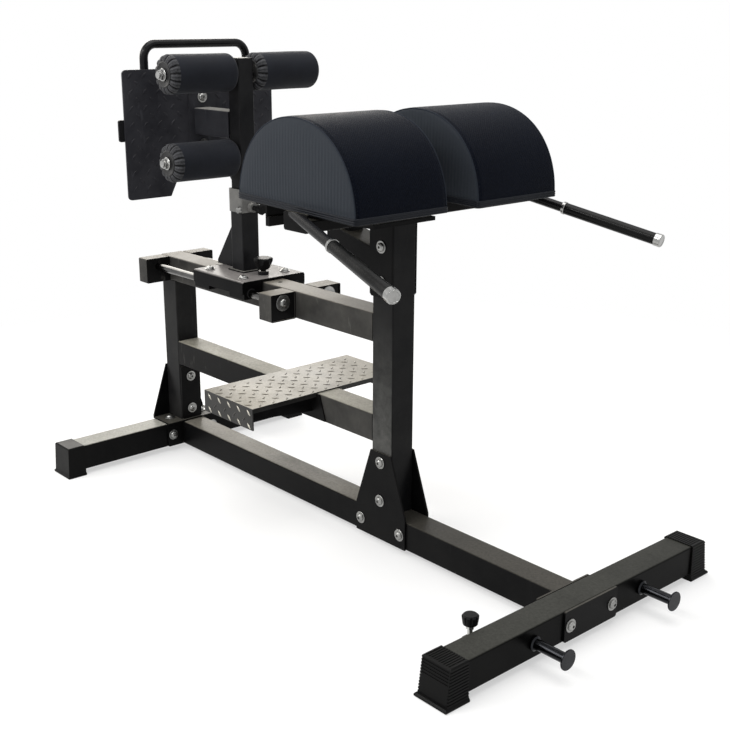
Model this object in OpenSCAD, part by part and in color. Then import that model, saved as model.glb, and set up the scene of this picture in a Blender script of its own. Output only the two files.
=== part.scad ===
// Glute ham developer: square tube frame, sliding foot assembly on two guide rods,
// half-round hip pads, swept handles, step, band pegs and a levelling foot.
// Front is +X, up is +Z. The origin is on the floor, under the middle of the machine.

/* [Frame] */
// Outer size of the square frame tubes
tube = 75; // [72:1:78]
// Wall of the square tubes
wall = 3; // [2:0.5:4]
// Outer corner radius of the square tubes
tube_r = 4; // [3:0.5:6]
// Clear distance between the two uprights
upright_gap = 910; // [900:5:960]
// Clear distance from the front upright to the front foot bar
front_reach = 540; // [480:5:600]
// Height of the foot bars above the floor
foot_lift = 16.5; // [15:0.5:20]
// Length of the front foot bar
front_bar_len = 886; // [820:2:940]
// Length of the rear foot bar
rear_bar_len = 868; // [820:2:940]
// Underside of the middle rail above the floor
mid_rail_z = 279; // [272:1:300]
// Underside of the slide beam above the floor
beam_z = 546; // [530:1:556]
// Top end of the front upright above the floor
upright_top = 848; // [842:1:860]
// Thickness of the flanges and bracket plates
plate_t = 5; // [4:0.5:6]
// Half width of the bolted flanges on the foot bars
flange_w = 93; // [90:1:100]

/* [Foot caps] */
// Wall of the rubber caps on the sides and the end
cap_wall = 4; // [3:0.5:5]
// Rubber over the top of the foot bars
cap_top = 2.5; // [2:0.5:4]
// How far a cap reaches over the bar
cap_lap = 49; // [40:1:60]
// How far the foot of a cap stands out past its end wall
cap_toe = 17; // [12:1:20]
// The same for the plain caps at the rear
rear_toe = 7; // [5:1:12]
// How far the foot of a cap stands out on each side of the bar
cap_spread = 9; // [7:0.5:11]
// Height of the lip round the foot of a cap
cap_lip = 7; // [5:0.5:8]
// Distance from rib to rib
rib_pitch = 7; // [6:0.5:10]
// Width of the grooves between ribs
groove_w = 3; // [2:0.5:4]
// Depth of the grooves between ribs
groove_d = 1.4; // [1:0.1:1.6]

/* [Lower gussets] */
// Top edge above the floor
gusset_top = 258; // [250:1:268]
// Height where the slanted edges end
gusset_knee = 98; // [96:1:110]
// Reach past the upright to the rear
gusset_back = 55; // [50:1:65]
// Reach past the upright to the front
gusset_front = 57; // [50:1:65]

/* [Rear bracket] */
// Top edge of the tapered rear plate above the floor
rear_plate_top = 264; // [256:1:270]
// Half width of the tapered rear plate at its top
rear_plate_top_w = 39; // [38:1:45]
// Top edge of the front plate above the floor
rear_strap_top = 270; // [262:1:272]
// Width of the front plate
rear_strap_w = 70; // [60:1:72]

/* [Step] */
// Length of the step across the machine
step_len = 510; // [460:5:560]
// Depth of the step from front to rear
step_deep = 220; // [190:5:250]
// Front edge of the step behind the front upright
step_back = 221; // [200:1:240]
// Sheet thickness
step_t = 3.5; // [3:0.5:5]
// Depth of the lips along the front and the rear
step_lip = 13; // [8:1:20]
// Depth of the end flanges
step_flange = 60; // [50:1:66]

/* [Slide] */
// Diameter of the guide rods
rod_d = 22; // [20:1:24]
// Distance of the guide rods from the centre plane
rod_y = 79; // [77:1:84]
// Length of the front rod brackets
rod_stub_front = 54; // [50:1:58]
// Length of the rear rod brackets
rod_stub_rear = 44; // [40:1:50]
// Front face of the front rod brackets behind the front upright
rod_stub_back = 310; // [300:1:320]
// Rear face of the rear rod brackets in front of the rear end of the beam
rod_stub_inset = 5; // [3:1:10]
// Diameter of the locating holes in the beam
pin_hole_d = 13; // [12:0.5:15]
// Distance from one locating hole to the next
pin_pitch = 38; // [30:1:45]
// Number of locating holes in the beam
pin_holes = 9; // [6:1:9]

/* [Carriage] */
// Distance of the carriage front edge from the rear face of the front upright
carriage_at = 455; // [440:1:500]
// Length of the carriage plate
carriage_len = 242; // [236:1:260]
// Half width of the carriage plate
carriage_w = 109; // [107:1:112]
// Thickness of the carriage plate
carriage_t = 6; // [5:0.5:8]
// Gap between the beam and the carriage plate
carriage_gap = 3; // [2:0.5:5]
// Depth of the turned-down sides
carriage_side = 36; // [34:1:42]
// Outer bend radius of the turned-down sides
carriage_r = 8; // [6:0.5:10]
// Length of each bearing housing
housing_len = 70; // [60:1:80]
// Radial play between the guide rods and their bushes
bush_play = 0.05; // [0.03:0.01:0.1]
// Wall of the bushes
bush_t = 3.5; // [3:0.5:4]

/* [Foot assembly] */
// Outer size of the fixed post
post_w = 57; // [56:1:64]
// Outer size of the sliding post
inner_w = 50; // [46:1:51]
// Play between the two posts on each side
post_play = 0.5; // [0.3:0.1:0.8]
// Gap between the lower rollers and the collar
collar_gap = 36.5; // [36:0.5:44]
// Height of the collar
collar_h = 65; // [60:1:72]
// Wall of the collar
collar_t = 3; // [3:0.5:6]
// Top of the sliding post above the upper roller axis
post_rise = 38; // [34:1:50]
// Room under the sliding post
post_room = 64; // [40:1:80]
// Distance of the post centre behind the carriage front edge
post_back = 133; // [131:1:140]
// Foam roller diameter
roller_d = 103; // [90:1:106]
// Height of the upper roller axis above the floor
roller_top_z = 1183; // [1130:1:1220]
// Distance between the two roller axes
roller_drop = 230; // [222:1:234]
// Length of one roller
roller_len = 216; // [190:1:220]
// Distance from the sliding post to a roller
roller_gap = 7; // [6:0.5:10]
// Diameter of the roller axles
axle_d = 19; // [16:1:22]
// Radial play between a roller and its axle
axle_play = 0.05; // [0.03:0.01:0.1]
// Width of the foot plate
foot_w = 508; // [480:2:540]
// Bottom edge of the foot plate below the upper roller axis
foot_drop = 352; // [345:1:358]
// Height of the foot plate
foot_h = 357; // [350:1:365]
// Corner radius of the foot plate
foot_r = 12; // [8:1:20]
// Front face of the foot plate behind the post centre
foot_back = 198; // [185:1:210]
// Outer diameter of the loop handle tube
loop_d = 24; // [22:1:28]
// Outer width of the loop handle
loop_w = 371; // [340:1:400]
// Height of the loop handle above the foot plate
loop_up = 79; // [74:1:90]
// Bend radius of the loop handle on its centre line
loop_r = 38; // [32:1:44]

/* [Hip pads] */
// Width of one pad across the machine
pad_w = 278; // [250:2:290]
// Gap between the two pads
pad_gap = 98; // [94:1:120]
// Radius of the half-round pads
pad_r = 211; // [200:1:214]
// Distance of the pad centre in front of the rear face of the upright
pad_x = 56.5; // [50:0.5:66]
// Underside of the pads above the floor
pad_z = 911; // [908:1:920]
// Forward tilt of the pads
pad_pitch = 1.7; // [0:0.1:3]
// Thickness of the pad boards
board_t = 8; // [6:1:12]
// Set back of the boards from the pad edges
board_inset = 26; // [20:1:34]
// Depth of the cross tube from front to rear
cross_w = 80; // [74:1:84]
// Height of the cross tube
cross_h = 28; // [25:1:32]
// Half length of the cross tube
cross_y = 343; // [336:1:352]

/* [Handles] */
// Handle tube diameter
handle_d = 24; // [20:1:25]
// Grip diameter
grip_d = 29; // [27:0.5:32]
// Length of a handle
handle_len = 420; // [380:1:440]
// Distance along the handle where the grip begins
grip_from = 157; // [120:1:180]
// Outward angle of the handles
handle_yaw = 13; // [12:0.5:18]
// Downward angle of the handles
handle_pitch = 12; // [8:0.5:14]

/* [Band pegs and levelling foot] */
// Peg diameter
peg_d = 24; // [22:1:30]
// Length of a peg
peg_len = 90; // [80:1:110]
// Distance of the pegs from the centre plane
peg_y = 190; // [160:1:220]
// Diameter of the end disc
peg_disc = 47; // [42:1:56]
// Diameter of the levelling knob
knob_d = 38; // [34:1:46]
// Height of the levelling knob
knob_h = 25; // [22:1:30]
// Distance of the levelling foot from the centre plane
level_y = 275; // [240:1:320]

/* [Fasteners] */
// Diameter of the frame bolts
bolt_d = 12; // [10:1:12]
// Radial play of the bolts in their holes
bolt_play = 0.4; // [0.3:0.1:0.8]
// Washer diameter
washer_d = 32; // [28:1:34]
// Diameter of the large washers on the guide rods
rod_washer_d = 45; // [40:1:48]
// Washer thickness
washer_t = 2.5; // [2:0.5:3]

/* [Hidden] */

// Clearance between fixed pieces whose round faces would touch
seat = 0.2;
// Clearance between pieces that move past each other
clear = 0.3;

// Turns that point the +Z axis of a bolt or a tube somewhere else
TO_FRONT = [0, 90, 0];
TO_REAR = [0, -90, 0];
TO_FAR = [-90, 0, 0];
TO_NEAR = [90, 0, 0];

// Places along X, from the rear face of the front upright
half = tube / 2;
rear_x1 = -upright_gap;
rear_x0 = rear_x1 - tube;
front_x0 = tube + front_reach;
front_x1 = front_x0 + tube;
peg_disc_t = 4;
peg_end = front_x1 + peg_len + peg_disc_t;
bolt_tail = bolt_d * 0.95;
rear_end = rear_x0 - max(cap_spread, plate_t + bolt_tail);
mid_x = (rear_end + peg_end) / 2;

// Heights
bar_top = foot_lift + tube;
bar_mid = foot_lift + half;
mid_rail_top = mid_rail_z + tube;
beam_top = beam_z + tube;
carriage_z = beam_top + carriage_gap;
carriage_top = carriage_z + carriage_t;

// Places of the frame bolts
base_bolt_y = flange_w - 19;
gusset_bolts = [[half, gusset_top - 27], [half, bar_top + 34],
    [18 - gusset_back, bar_mid], [tube + gusset_front - 20, bar_mid]];
strap_bolt_z = [rear_strap_top - 35, bar_top + plate_t + 32];
rear_bolt_y = 58;
side_plate_bolt_z = [upright_top - 54, upright_top - 142];
side_plate_z = side_plate_bolt_z[1] - 39;
board_z = pad_z - clear - board_t;
cross_z = board_z - cross_h;
cross_x = 49;
saddle_w = 206;
saddle_h = 10;
saddle_post_w = 120;
strut_rise = 13;
strut_reach = 175;
strut_z = upright_top - tube + 14;
riser_x = 115;
riser_w = 50;
rear_bar_y = 285;
rear_bar_h = 54;
rear_bar_t = 6;
rear_lip_h = 22.5;
rear_lip_out = 8;

// Step places
step_x1 = -step_back;
step_x0 = step_x1 - step_deep;
step_top = mid_rail_top + step_t;
step_bolt_at = [step_x1 - 47, mid_rail_top - 34];
arm_t = 5;
arm_inset = 19;
saddle_t = 4;

// Slide places
front_stub_x1 = -rod_stub_back;
front_stub_x0 = front_stub_x1 - rod_stub_front;
rear_stub_x0 = rear_x0 + rod_stub_inset;
rear_stub_x1 = rear_stub_x0 + rod_stub_rear;
stub_w = 2 * (rod_y - half);
stub_recess = 3;
stub_end_t = 6;
stub_wall = 3;
rod_x0 = rear_stub_x0 + stub_recess + stub_end_t;
rod_x1 = front_stub_x1 - stub_recess - stub_end_t;
rod_tap = 30;
rod_z = beam_top - stub_wall - rod_washer_d / 2 - 2 * clear;

// Carriage places
car_x1 = -carriage_at;
car_x0 = car_x1 - carriage_len;
post_x = car_x1 - post_back;
pin_x = car_x1 - 50;
car_bolts = [car_x0 + 34, car_x1 - 45];
car_bolt_y = 73;
car_bolt_len = 16;
side_t = 5;
housing_z = rod_z - rod_d / 2 - bush_t - 0.5;
post_foot_h = 4;
post_foot_out = 8;
post_z = carriage_top + post_foot_h;
post_rib_reach = 107;
post_rib_t = 8;
post_top = roller_top_z - roller_drop - roller_d / 2 - collar_gap;
collar_z = post_top - collar_h;
height_pin_z = collar_z + 14;
pin_d = 10;
pin_play = 0.3;
pin_boss_h = 10;
collar_boss_h = 16;

// Foot assembly places
inner_top = roller_top_z + post_rise;
inner_z = post_z + post_room;
roller_low_z = roller_top_z - roller_drop;
roller_y0 = inner_w / 2 + roller_gap;
roller_y1 = roller_y0 + roller_len;
axle_out = 16;
foot_x = post_x - foot_back;
foot_z = roller_top_z - foot_drop;
stub_tube_z = foot_z + 171;
stub_tube_h = 75;
stub_plate_z = stub_tube_z + stub_tube_h / 2;
stub_flange_w = 90;
stub_bolt_dz = 67;
stub_bolt_edge = 18;
notch_w = 114.5;
notch_step = 19.5;
stiff_t = 6;
stiff_h = 60;
stiff_out = 16;
stiff_z = stub_tube_z + 22;
loop_x = foot_x - plate_t - loop_d / 2 - seat;
loop_z = foot_z + foot_h + loop_up - loop_d / 2;
loop_leg_z = stub_tube_z + 60;

// Handle start, on the outer face of the cross tube's end plate
end_plate_y = cross_y + plate_t;
end_plate_h = cross_h + 15;
handle_at = [105.5, cross_y + 2, pad_z - 7.2];

// Levelling foot place
level_x = front_x0 - 32;
level_rise = 30;
lug_t = 12;

// Finishes
powder = "#2b2c2f";
worn = "#8f8b80";
rubber = "#191a1c";
bright = "#c9ccd0";
vinyl = "#3a3f46";
foam = "#3b3f44";
black_chrome = "#3a3d44";

module place() translate([-mid_x, 0, 0]) children();

module both_sides() {
    children();
    mirror([0, 1, 0]) children();
}

function reversed(list) = [for (i = [len(list) - 1 : -1 : 0]) list[i]];

// Rectangle with true round corners, centred
module round_rect(w, h, r) {
    square([w - 2 * r, h], center = true);
    square([w, h - 2 * r], center = true);
    for (sx = [-1, 1], sy = [-1, 1])
        translate([sx * (w / 2 - r), sy * (h / 2 - r)]) circle(r = r, $fn = 24);
}

// Wall section of a rectangular tube
module tube_section(w, h, t, r) {
    difference() {
        round_rect(w, h, r);
        round_rect(w - 2 * t, h - 2 * t, max(r - t, 0.6));
    }
}

// Frame tube along X with its underside at z
module rail_x(x0, x1, z) {
    translate([x0, 0, z + half]) rotate(TO_FRONT)
        linear_extrude(x1 - x0) tube_section(tube, tube, wall, tube_r);
}

// Frame tube along Z
module rail_z(x, z0, z1) {
    translate([x + half, 0, z0])
        linear_extrude(z1 - z0) tube_section(tube, tube, wall, tube_r);
}

// Foot bar along Y
module foot_bar(x, len) {
    translate([x + half, -len / 2, bar_mid]) rotate(TO_FAR)
        linear_extrude(len) tube_section(tube, tube, wall, tube_r);
}

// Hole for a bolt whose head sits at the origin and points to +Z
module bolt_hole(depth) {
    translate([0, 0, -depth - 1])
        cylinder(h = depth + 2, r = bolt_d / 2 + bolt_play, $fn = 32);
}

// Button head screw with a hexagon socket, washer under its head
module screw(len, washer = washer_d) {
    head_r = bolt_d * 0.92;
    head_h = bolt_d * 0.55;
    difference() {
        rotate_extrude($fn = 40) polygon([[0, -len], [bolt_d / 2 - 1, -len],
            [bolt_d / 2, 1 - len], [bolt_d / 2, washer_t], [head_r, washer_t],
            [head_r, washer_t + head_h * 0.3], [head_r * 0.86, washer_t + head_h * 0.66],
            [head_r * 0.6, washer_t + head_h * 0.92],
            [head_r * 0.4, washer_t + head_h], [0, washer_t + head_h]]);
        translate([0, 0, washer_t + head_h * 0.35])
            cylinder(h = head_h, r = bolt_d * 0.33, $fn = 6);
    }
    washer(washer);
}

module washer(d) {
    rotate_extrude($fn = 40) polygon([[bolt_d / 2 + seat, 0], [d / 2, 0],
        [d / 2, washer_t - 0.6], [d / 2 - 0.6, washer_t], [bolt_d / 2 + seat, washer_t]]);
}

// Flange nut, its seat at z = 0, pointing to -Z
module flange_nut() {
    nut_h = bolt_d * 0.8;
    difference() {
        union() {
            translate([0, 0, -nut_h]) cylinder(h = nut_h, d = bolt_d * 1.75, $fn = 6);
            translate([0, 0, -washer_t]) cylinder(h = washer_t, r = bolt_d * 1.05, $fn = 32);
        }
        translate([0, 0, -nut_h - 1])
            cylinder(h = nut_h + 2, r = bolt_d / 2 + seat, $fn = 32);
    }
}

// Screw through a grip of that length, with a nut behind it
module bolt(grip) {
    screw(grip + bolt_tail);
    translate([0, 0, -grip]) flange_nut();
}

// Base frame

module front_foot_bar() {
    color(powder) place() difference() {
        foot_bar(front_x0, front_bar_len);
        for (s = [-1, 1]) translate([front_x1, s * base_bolt_y, bar_mid])
            rotate(TO_FRONT) bolt_hole(tube);
    }
}

module rear_foot_bar() {
    color(powder) place() difference() {
        foot_bar(rear_x0, rear_bar_len);
        for (s = [-1, 1]) {
            translate([rear_x1, s * base_bolt_y, bar_mid]) rotate(TO_FRONT) bolt_hole(tube);
            translate([rear_x0 + half, s * rear_bolt_y, bar_top]) bolt_hole(wall + 2);
        }
    }
}

// Outline of a cap seen from the side, drawn in by an inset; the bar ends at 0
function cap_side(inset, toe) = let (w = cap_wall - inset, top = bar_top + cap_top)
    [[-cap_lap, 0], [w + toe - 2, 0], [w + toe, 2], [w + toe, cap_lip - 1],
    [w + toe - 3, cap_lip + 2], [w + toe * 0.55, cap_lip + 3], [w, top - 4],
    [w - 3, top - inset], [-cap_lap, top - inset]];

// Outline of a cap seen along the bar
function cap_half(inset) =
    let (w0 = half + cap_spread - inset, w1 = half + cap_wall - inset, top = bar_top + cap_top)
    [[w0 - 2, 0], [w0, 2], [w0, cap_lip - 1], [w0 - 2, cap_lip + 1.5], [w1 + 1.5, cap_lip + 3],
    [w1, top - 3], [w1 - 3, top - inset]];
function cap_front(inset) =
    concat(cap_half(inset), [for (p = reversed(cap_half(inset))) [-p[0], p[1]]]);

module cap_body(inset, toe) {
    intersection() {
        translate([half + cap_spread + 1, 0, 0]) rotate([90, 0, -90])
            linear_extrude(tube + 2 * cap_spread + 2) mirror([1, 0])
                polygon(cap_side(inset, toe));
        translate([0, cap_wall + toe + 1, 0]) rotate([90, 0, 0])
            linear_extrude(cap_wall + toe + cap_lap + 1) polygon(cap_front(inset));
    }
}

// Grooves round the sides, over the top and across the upper part of the end
module cap_grooves(toe) {
    side_x = half + cap_wall - groove_d;
    for (z = [cap_lip * 2 : rib_pitch : bar_top - 5]) {
        for (s = [-1, 1]) translate([s * (side_x + half / 2) - half / 2, -cap_lap - 1, z])
            cube([half, cap_lap + cap_wall + toe + 2, groove_w]);
        if (z > bar_top * 0.55) translate([-half, 0, z])
            cube([tube, cap_wall + toe + 1, groove_w]);
    }
    for (x = [4 - half : rib_pitch : half - 6]) translate([x, -cap_lap - 1, bar_top])
        cube([groove_w, cap_lap + cap_wall - 3, cap_top + 1]);
}

// Cap for the end of a foot bar that runs along +Y and ends at y = 0
module foot_cap(ribbed, toe) {
    difference() {
        cap_body(0, toe);
        translate([0, -cap_lap - 1, bar_mid]) rotate(TO_FAR)
            linear_extrude(cap_lap + 1 + seat) round_rect(tube + 2 * seat, tube + 2 * seat, tube_r);
        if (ribbed) difference() {
            cap_grooves(toe);
            cap_body(groove_d, toe);
        }
    }
}

module caps(x, len, ribbed, toe) {
    both_sides() translate([x + half, len / 2, 0]) foot_cap(ribbed, toe);
}

module front_foot_caps() {
    color(rubber) place() caps(front_x0, front_bar_len, true, cap_toe);
}

module rear_foot_caps() {
    color(rubber) place() caps(rear_x0, rear_bar_len, false, rear_toe);
}

// Flange plate across the machine, with its two bolt holes
module flange(x) {
    translate([x, 0, bar_mid]) rotate(TO_FRONT) difference() {
        linear_extrude(plate_t) round_rect(tube, 2 * flange_w, 5);
        for (s = [-1, 1]) translate([0, s * base_bolt_y, plate_t]) bolt_hole(plate_t);
    }
}

module main_rail() {
    color(powder) place() {
        difference() {
            union() {
                rail_x(rear_x1 + plate_t, front_x0 - plate_t, foot_lift);
                flange(rear_x1);
                flange(front_x0 - plate_t);
            }
            for (p = gusset_bolts) if (p[1] < bar_top)
                translate([p[0], -half, p[1]]) rotate(TO_NEAR) bolt_hole(tube);
        }
    }
}

module front_clamp_plate() {
    color(powder) place() flange(front_x1);
}

module base_bolts() {
    color(bright) place() for (s = [-1, 1]) {
        translate([front_x1 + plate_t, s * base_bolt_y, bar_mid])
            rotate(TO_FRONT) bolt(tube + 2 * plate_t);
        translate([rear_x1 + plate_t, s * base_bolt_y, bar_mid])
            rotate(TO_FRONT) bolt(tube + plate_t);
    }
}

// Rear upright and its bracket

module rear_upright() {
    color(powder) place() difference() {
        rail_z(rear_x0, bar_top + plate_t, beam_z);
        for (z = strap_bolt_z) translate([rear_x1, 0, z]) rotate(TO_FRONT) bolt_hole(tube);
    }
}

module rear_base_bracket() {
    low = bar_top + plate_t;
    color(powder) place() difference() {
        union() {
            translate([rear_x0 - plate_t, -flange_w, bar_top])
                cube([tube + 2 * plate_t + 8, 2 * flange_w, plate_t]);
            translate([rear_x0 - plate_t, 0, 0]) rotate([90, 0, 90])
                linear_extrude(plate_t) polygon([[-flange_w, low], [flange_w, low],
                    [flange_w, low + 6], [rear_plate_top_w, rear_plate_top],
                    [-rear_plate_top_w, rear_plate_top], [-flange_w, low + 6]]);
            translate([rear_x1, 0, (low + rear_strap_top) / 2]) rotate(TO_FRONT)
                linear_extrude(plate_t) round_rect(rear_strap_top - low, rear_strap_w, 5);
        }
        for (z = strap_bolt_z)
            translate([rear_x1 + plate_t, 0, z]) rotate(TO_FRONT) bolt_hole(tube + 2 * plate_t);
        for (s = [-1, 1])
            translate([rear_x0 + half, s * rear_bolt_y, low]) bolt_hole(plate_t);
    }
}

module rear_bracket_bolts() {
    color(bright) place() {
        for (z = strap_bolt_z)
            translate([rear_x1 + plate_t, 0, z]) rotate(TO_FRONT) bolt(tube + 2 * plate_t);
        for (s = [-1, 1])
            translate([rear_x0 + half, s * rear_bolt_y, bar_top + plate_t]) bolt(plate_t + wall);
    }
}

// Front upright and its gussets

module front_upright() {
    color(powder) place() difference() {
        rail_z(0, bar_top, upright_top);
        for (p = gusset_bolts) if (p[1] > bar_top)
            translate([p[0], -half, p[1]]) rotate(TO_NEAR) bolt_hole(tube);
        for (z = side_plate_bolt_z)
            translate([half, -half, z]) rotate(TO_NEAR) bolt_hole(tube);
    }
}

module lower_gusset_plates() {
    color(powder) place() both_sides() translate([0, half + plate_t, 0]) difference() {
        rotate([90, 0, 0]) linear_extrude(plate_t)
            polygon([[-gusset_back, foot_lift], [tube + gusset_front, foot_lift],
                [tube + gusset_front, gusset_knee], [tube, gusset_top], [0, gusset_top],
                [-gusset_back, gusset_knee]]);
        for (p = gusset_bolts) translate([p[0], 0, p[1]]) rotate(TO_FAR) bolt_hole(plate_t);
    }
}

module lower_gusset_bolts() {
    color(bright) place() for (p = gusset_bolts)
        translate([p[0], -half - plate_t, p[1]]) rotate(TO_NEAR) bolt(tube + 2 * plate_t);
}

// Middle rail and step

module middle_rail() {
    color(powder) place() difference() {
        rail_x(rear_x1, 0, mid_rail_z);
        translate([step_bolt_at[0], -half, step_bolt_at[1]]) rotate(TO_NEAR) bolt_hole(tube);
    }
}

module step_plate() {
    room = half + saddle_t + seat;
    color(worn) place() {
        difference() {
            union() {
                translate([step_x0, -step_len / 2, mid_rail_top])
                    cube([step_deep, step_len, step_t]);
                for (x = [step_x0, step_x1 - step_t])
                    translate([x, -step_len / 2, step_top - step_lip])
                        cube([step_t, step_len, step_lip]);
                for (y = [-step_len / 2, step_len / 2 - step_t])
                    translate([step_x0, y, step_top - step_flange])
                        cube([step_deep, step_t, step_flange]);
            }
            translate([step_x0 - 1, -room, mid_rail_top - tube])
                cube([step_deep + 2, 2 * room, tube]);
        }
    }
}

// Arm under the step, from the rail's saddle to the end flange
module step_arm(x) {
    translate([x, 0, 0]) rotate([90, 0, 90]) linear_extrude(arm_t)
        polygon([[half + saddle_t, mid_rail_top - 54], [step_len / 2 - step_t, mid_rail_top - 34],
            [step_len / 2 - step_t, mid_rail_top], [half + saddle_t, mid_rail_top]]);
}

module step_bracket() {
    bx = step_bolt_at[0];
    color(powder) place() {
        mirror([0, 1, 0]) step_arm(step_x1 - arm_inset - arm_t);
        step_arm(step_x0 + arm_inset);
        both_sides() translate([0, half + saddle_t, 0]) difference() {
            rotate([90, 0, 0]) linear_extrude(saddle_t)
                polygon([[step_x0 + arm_inset, mid_rail_top], [bx + 59, mid_rail_top],
                    [bx + 83, mid_rail_z + 3], [bx - 25, mid_rail_z + 2],
                    [bx - 70, mid_rail_z + 13], [step_x0 + arm_inset, mid_rail_z + 30]]);
            translate([bx, 0, step_bolt_at[1]]) rotate(TO_FAR) bolt_hole(saddle_t);
        }
    }
}

module step_bolt() {
    color(bright) place() translate([step_bolt_at[0], -half - saddle_t, step_bolt_at[1]])
        rotate(TO_NEAR) bolt(tube + 2 * saddle_t);
}

// Slide beam, rod brackets and rods

module slide_beam() {
    first = car_x1 + 28;
    color(worn) place() difference() {
        rail_x(rear_x0, 0, beam_z);
        for (i = [0 : pin_holes - 1]) translate([first - i * pin_pitch, 0, beam_top - wall - 1])
            cylinder(h = wall + 2, d = pin_hole_d, $fn = 32);
    }
}

// Closed bracket beside the beam; its outer end plate is set back inside the rim
module rod_bracket(len) {
    rod_up = rod_z - beam_z - half;
    difference() {
        linear_extrude(len) round_rect(tube, stub_w, tube_r);
        translate([0, 0, len - stub_recess]) linear_extrude(stub_recess + 1)
            round_rect(tube - 2 * stub_wall, stub_w - 2 * stub_wall, 2);
        translate([0, 0, stub_end_t]) linear_extrude(len - stub_recess - 2 * stub_end_t)
            round_rect(tube - 2 * stub_wall, stub_w - 2 * stub_wall, 2);
        translate([-rod_up, 0, -1]) cylinder(h = stub_end_t + 2, r = rod_d / 2 + seat, $fn = 40);
        translate([-rod_up, 0, len - stub_recess]) bolt_hole(stub_end_t);
    }
}

module front_rod_brackets() {
    color(worn) place() for (s = [-1, 1])
        translate([front_stub_x0, s * rod_y, beam_z + half]) rotate(TO_FRONT)
            rod_bracket(rod_stub_front);
}

module rear_rod_brackets() {
    color(worn) place() for (s = [-1, 1])
        translate([rear_stub_x1, s * rod_y, beam_z + half])
            rotate(TO_REAR) mirror([1, 0, 0]) rod_bracket(rod_stub_rear);
}

module guide_rods() {
    len = rod_x1 - rod_x0;
    color(black_chrome) place() for (s = [-1, 1])
        translate([rod_x0, s * rod_y, rod_z]) rotate(TO_FRONT) difference() {
            cylinder(h = len, d = rod_d, $fn = 48);
            translate([0, 0, -1]) cylinder(h = rod_tap, r = bolt_d / 2 + seat, $fn = 32);
            translate([0, 0, len + 1 - rod_tap])
                cylinder(h = rod_tap, r = bolt_d / 2 + seat, $fn = 32);
        }
}

module rod_bolts() {
    color(bright) place() for (s = [-1, 1]) {
        translate([rod_x1 + stub_end_t, s * rod_y, rod_z]) rotate(TO_FRONT)
            screw(stub_end_t + rod_tap - 6, rod_washer_d);
        translate([rod_x0 - stub_end_t, s * rod_y, rod_z]) rotate(TO_REAR)
            screw(stub_end_t + rod_tap - 6, rod_washer_d);
    }
}

// Pad support

module pad_side_plates() {
    color(powder) place() both_sides() translate([0, half + plate_t, 0]) difference() {
        rotate([90, 0, 0]) linear_extrude(plate_t)
            polygon([[-5, side_plate_z + 6], [1, side_plate_z], [tube - 7, side_plate_z],
                [tube - 1, side_plate_z + 6], [tube - 1, upright_top], [-5, upright_top]]);
        for (z = side_plate_bolt_z) translate([half, 0, z]) rotate(TO_FAR) bolt_hole(plate_t);
    }
}

module pad_bracket_bolts() {
    color(bright) place() for (z = side_plate_bolt_z)
        translate([half, -half - plate_t, z]) rotate(TO_NEAR) bolt(tube + 2 * plate_t);
}

// Plate on top of the upright with a block under the cross tube
module pad_saddle() {
    z = upright_top + clear;
    color(powder) place() {
        translate([0, -saddle_w / 2, z]) cube([tube, saddle_w, saddle_h]);
        translate([cross_x - 4, -saddle_post_w / 2, z + saddle_h / 2])
            cube([tube - cross_x, saddle_post_w, cross_z - clear - saddle_h / 2 - z]);
    }
}

// Tube that rises to the rear from the upright, with a riser and a lipped angle bar
// that carries the boards
module pad_strut() {
    bar_x = riser_w / 2 - riser_x;
    back = rear_lip_out + rear_bar_t;
    bar_top = board_z + (cross_x + cross_w - bar_x + rear_lip_out) * tan(pad_pitch) - clear;
    bar_z = bar_top - rear_bar_h;
    color(powder) place() {
        intersection() {
            translate([0, 0, strut_z - half / cos(strut_rise)]) rotate([0, strut_rise - 90, 0])
                translate([0, 0, -tube]) linear_extrude(2 * tube + strut_reach)
                    tube_section(tube, tube, wall, tube_r);
            translate([-strut_reach, -tube, 0]) cube([strut_reach, 2 * tube, 2 * strut_z]);
        }
        difference() {
            translate([-riser_x - back, 0, strut_z]) linear_extrude(bar_top - rear_bar_t / 2 - strut_z)
                tube_section(riser_w, riser_w, wall, tube_r);
            translate([0, 0, strut_z - half / cos(strut_rise)]) rotate([0, strut_rise - 90, 0])
                translate([-half, -half, 0]) cube([tube, tube, 3 * strut_reach]);
        }
        translate([bar_x, rear_bar_y, 0]) rotate(TO_NEAR) linear_extrude(2 * rear_bar_y)
            polygon([[0, bar_z], [0, bar_z + rear_lip_h], [-rear_lip_out, bar_z + rear_lip_h],
                [-rear_lip_out, bar_top], [-riser_w, bar_top], [-riser_w, bar_top - rear_bar_t],
                [-back, bar_top - rear_bar_t], [-back, bar_z]]);
    }
}

module cross_tube() {
    color(powder) place() {
        translate([cross_x + cross_w / 2, -cross_y, cross_z + cross_h / 2]) rotate(TO_FAR)
            linear_extrude(2 * cross_y) tube_section(cross_w, cross_h, wall, tube_r);
        both_sides() translate([cross_x + cross_w / 2 + 1, cross_y, cross_z + end_plate_h / 2])
            rotate(TO_FAR) linear_extrude(plate_t) round_rect(cross_w + 4, end_plate_h, 6);
    }
}

// Tilts the pads and their boards about the front edge of the cross tube
module pad_tilt() {
    translate([cross_x + cross_w, 0, board_z]) rotate([0, pad_pitch, 0])
        translate([-cross_x - cross_w, 0, -board_z]) children();
}

module pad_boards() {
    color(powder) place() pad_tilt() both_sides()
        translate([pad_x, (pad_gap + pad_w) / 2, board_z])
            linear_extrude(board_t)
                round_rect(2 * (pad_r - board_inset), pad_w - 2 * board_inset, 10);
}

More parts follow.
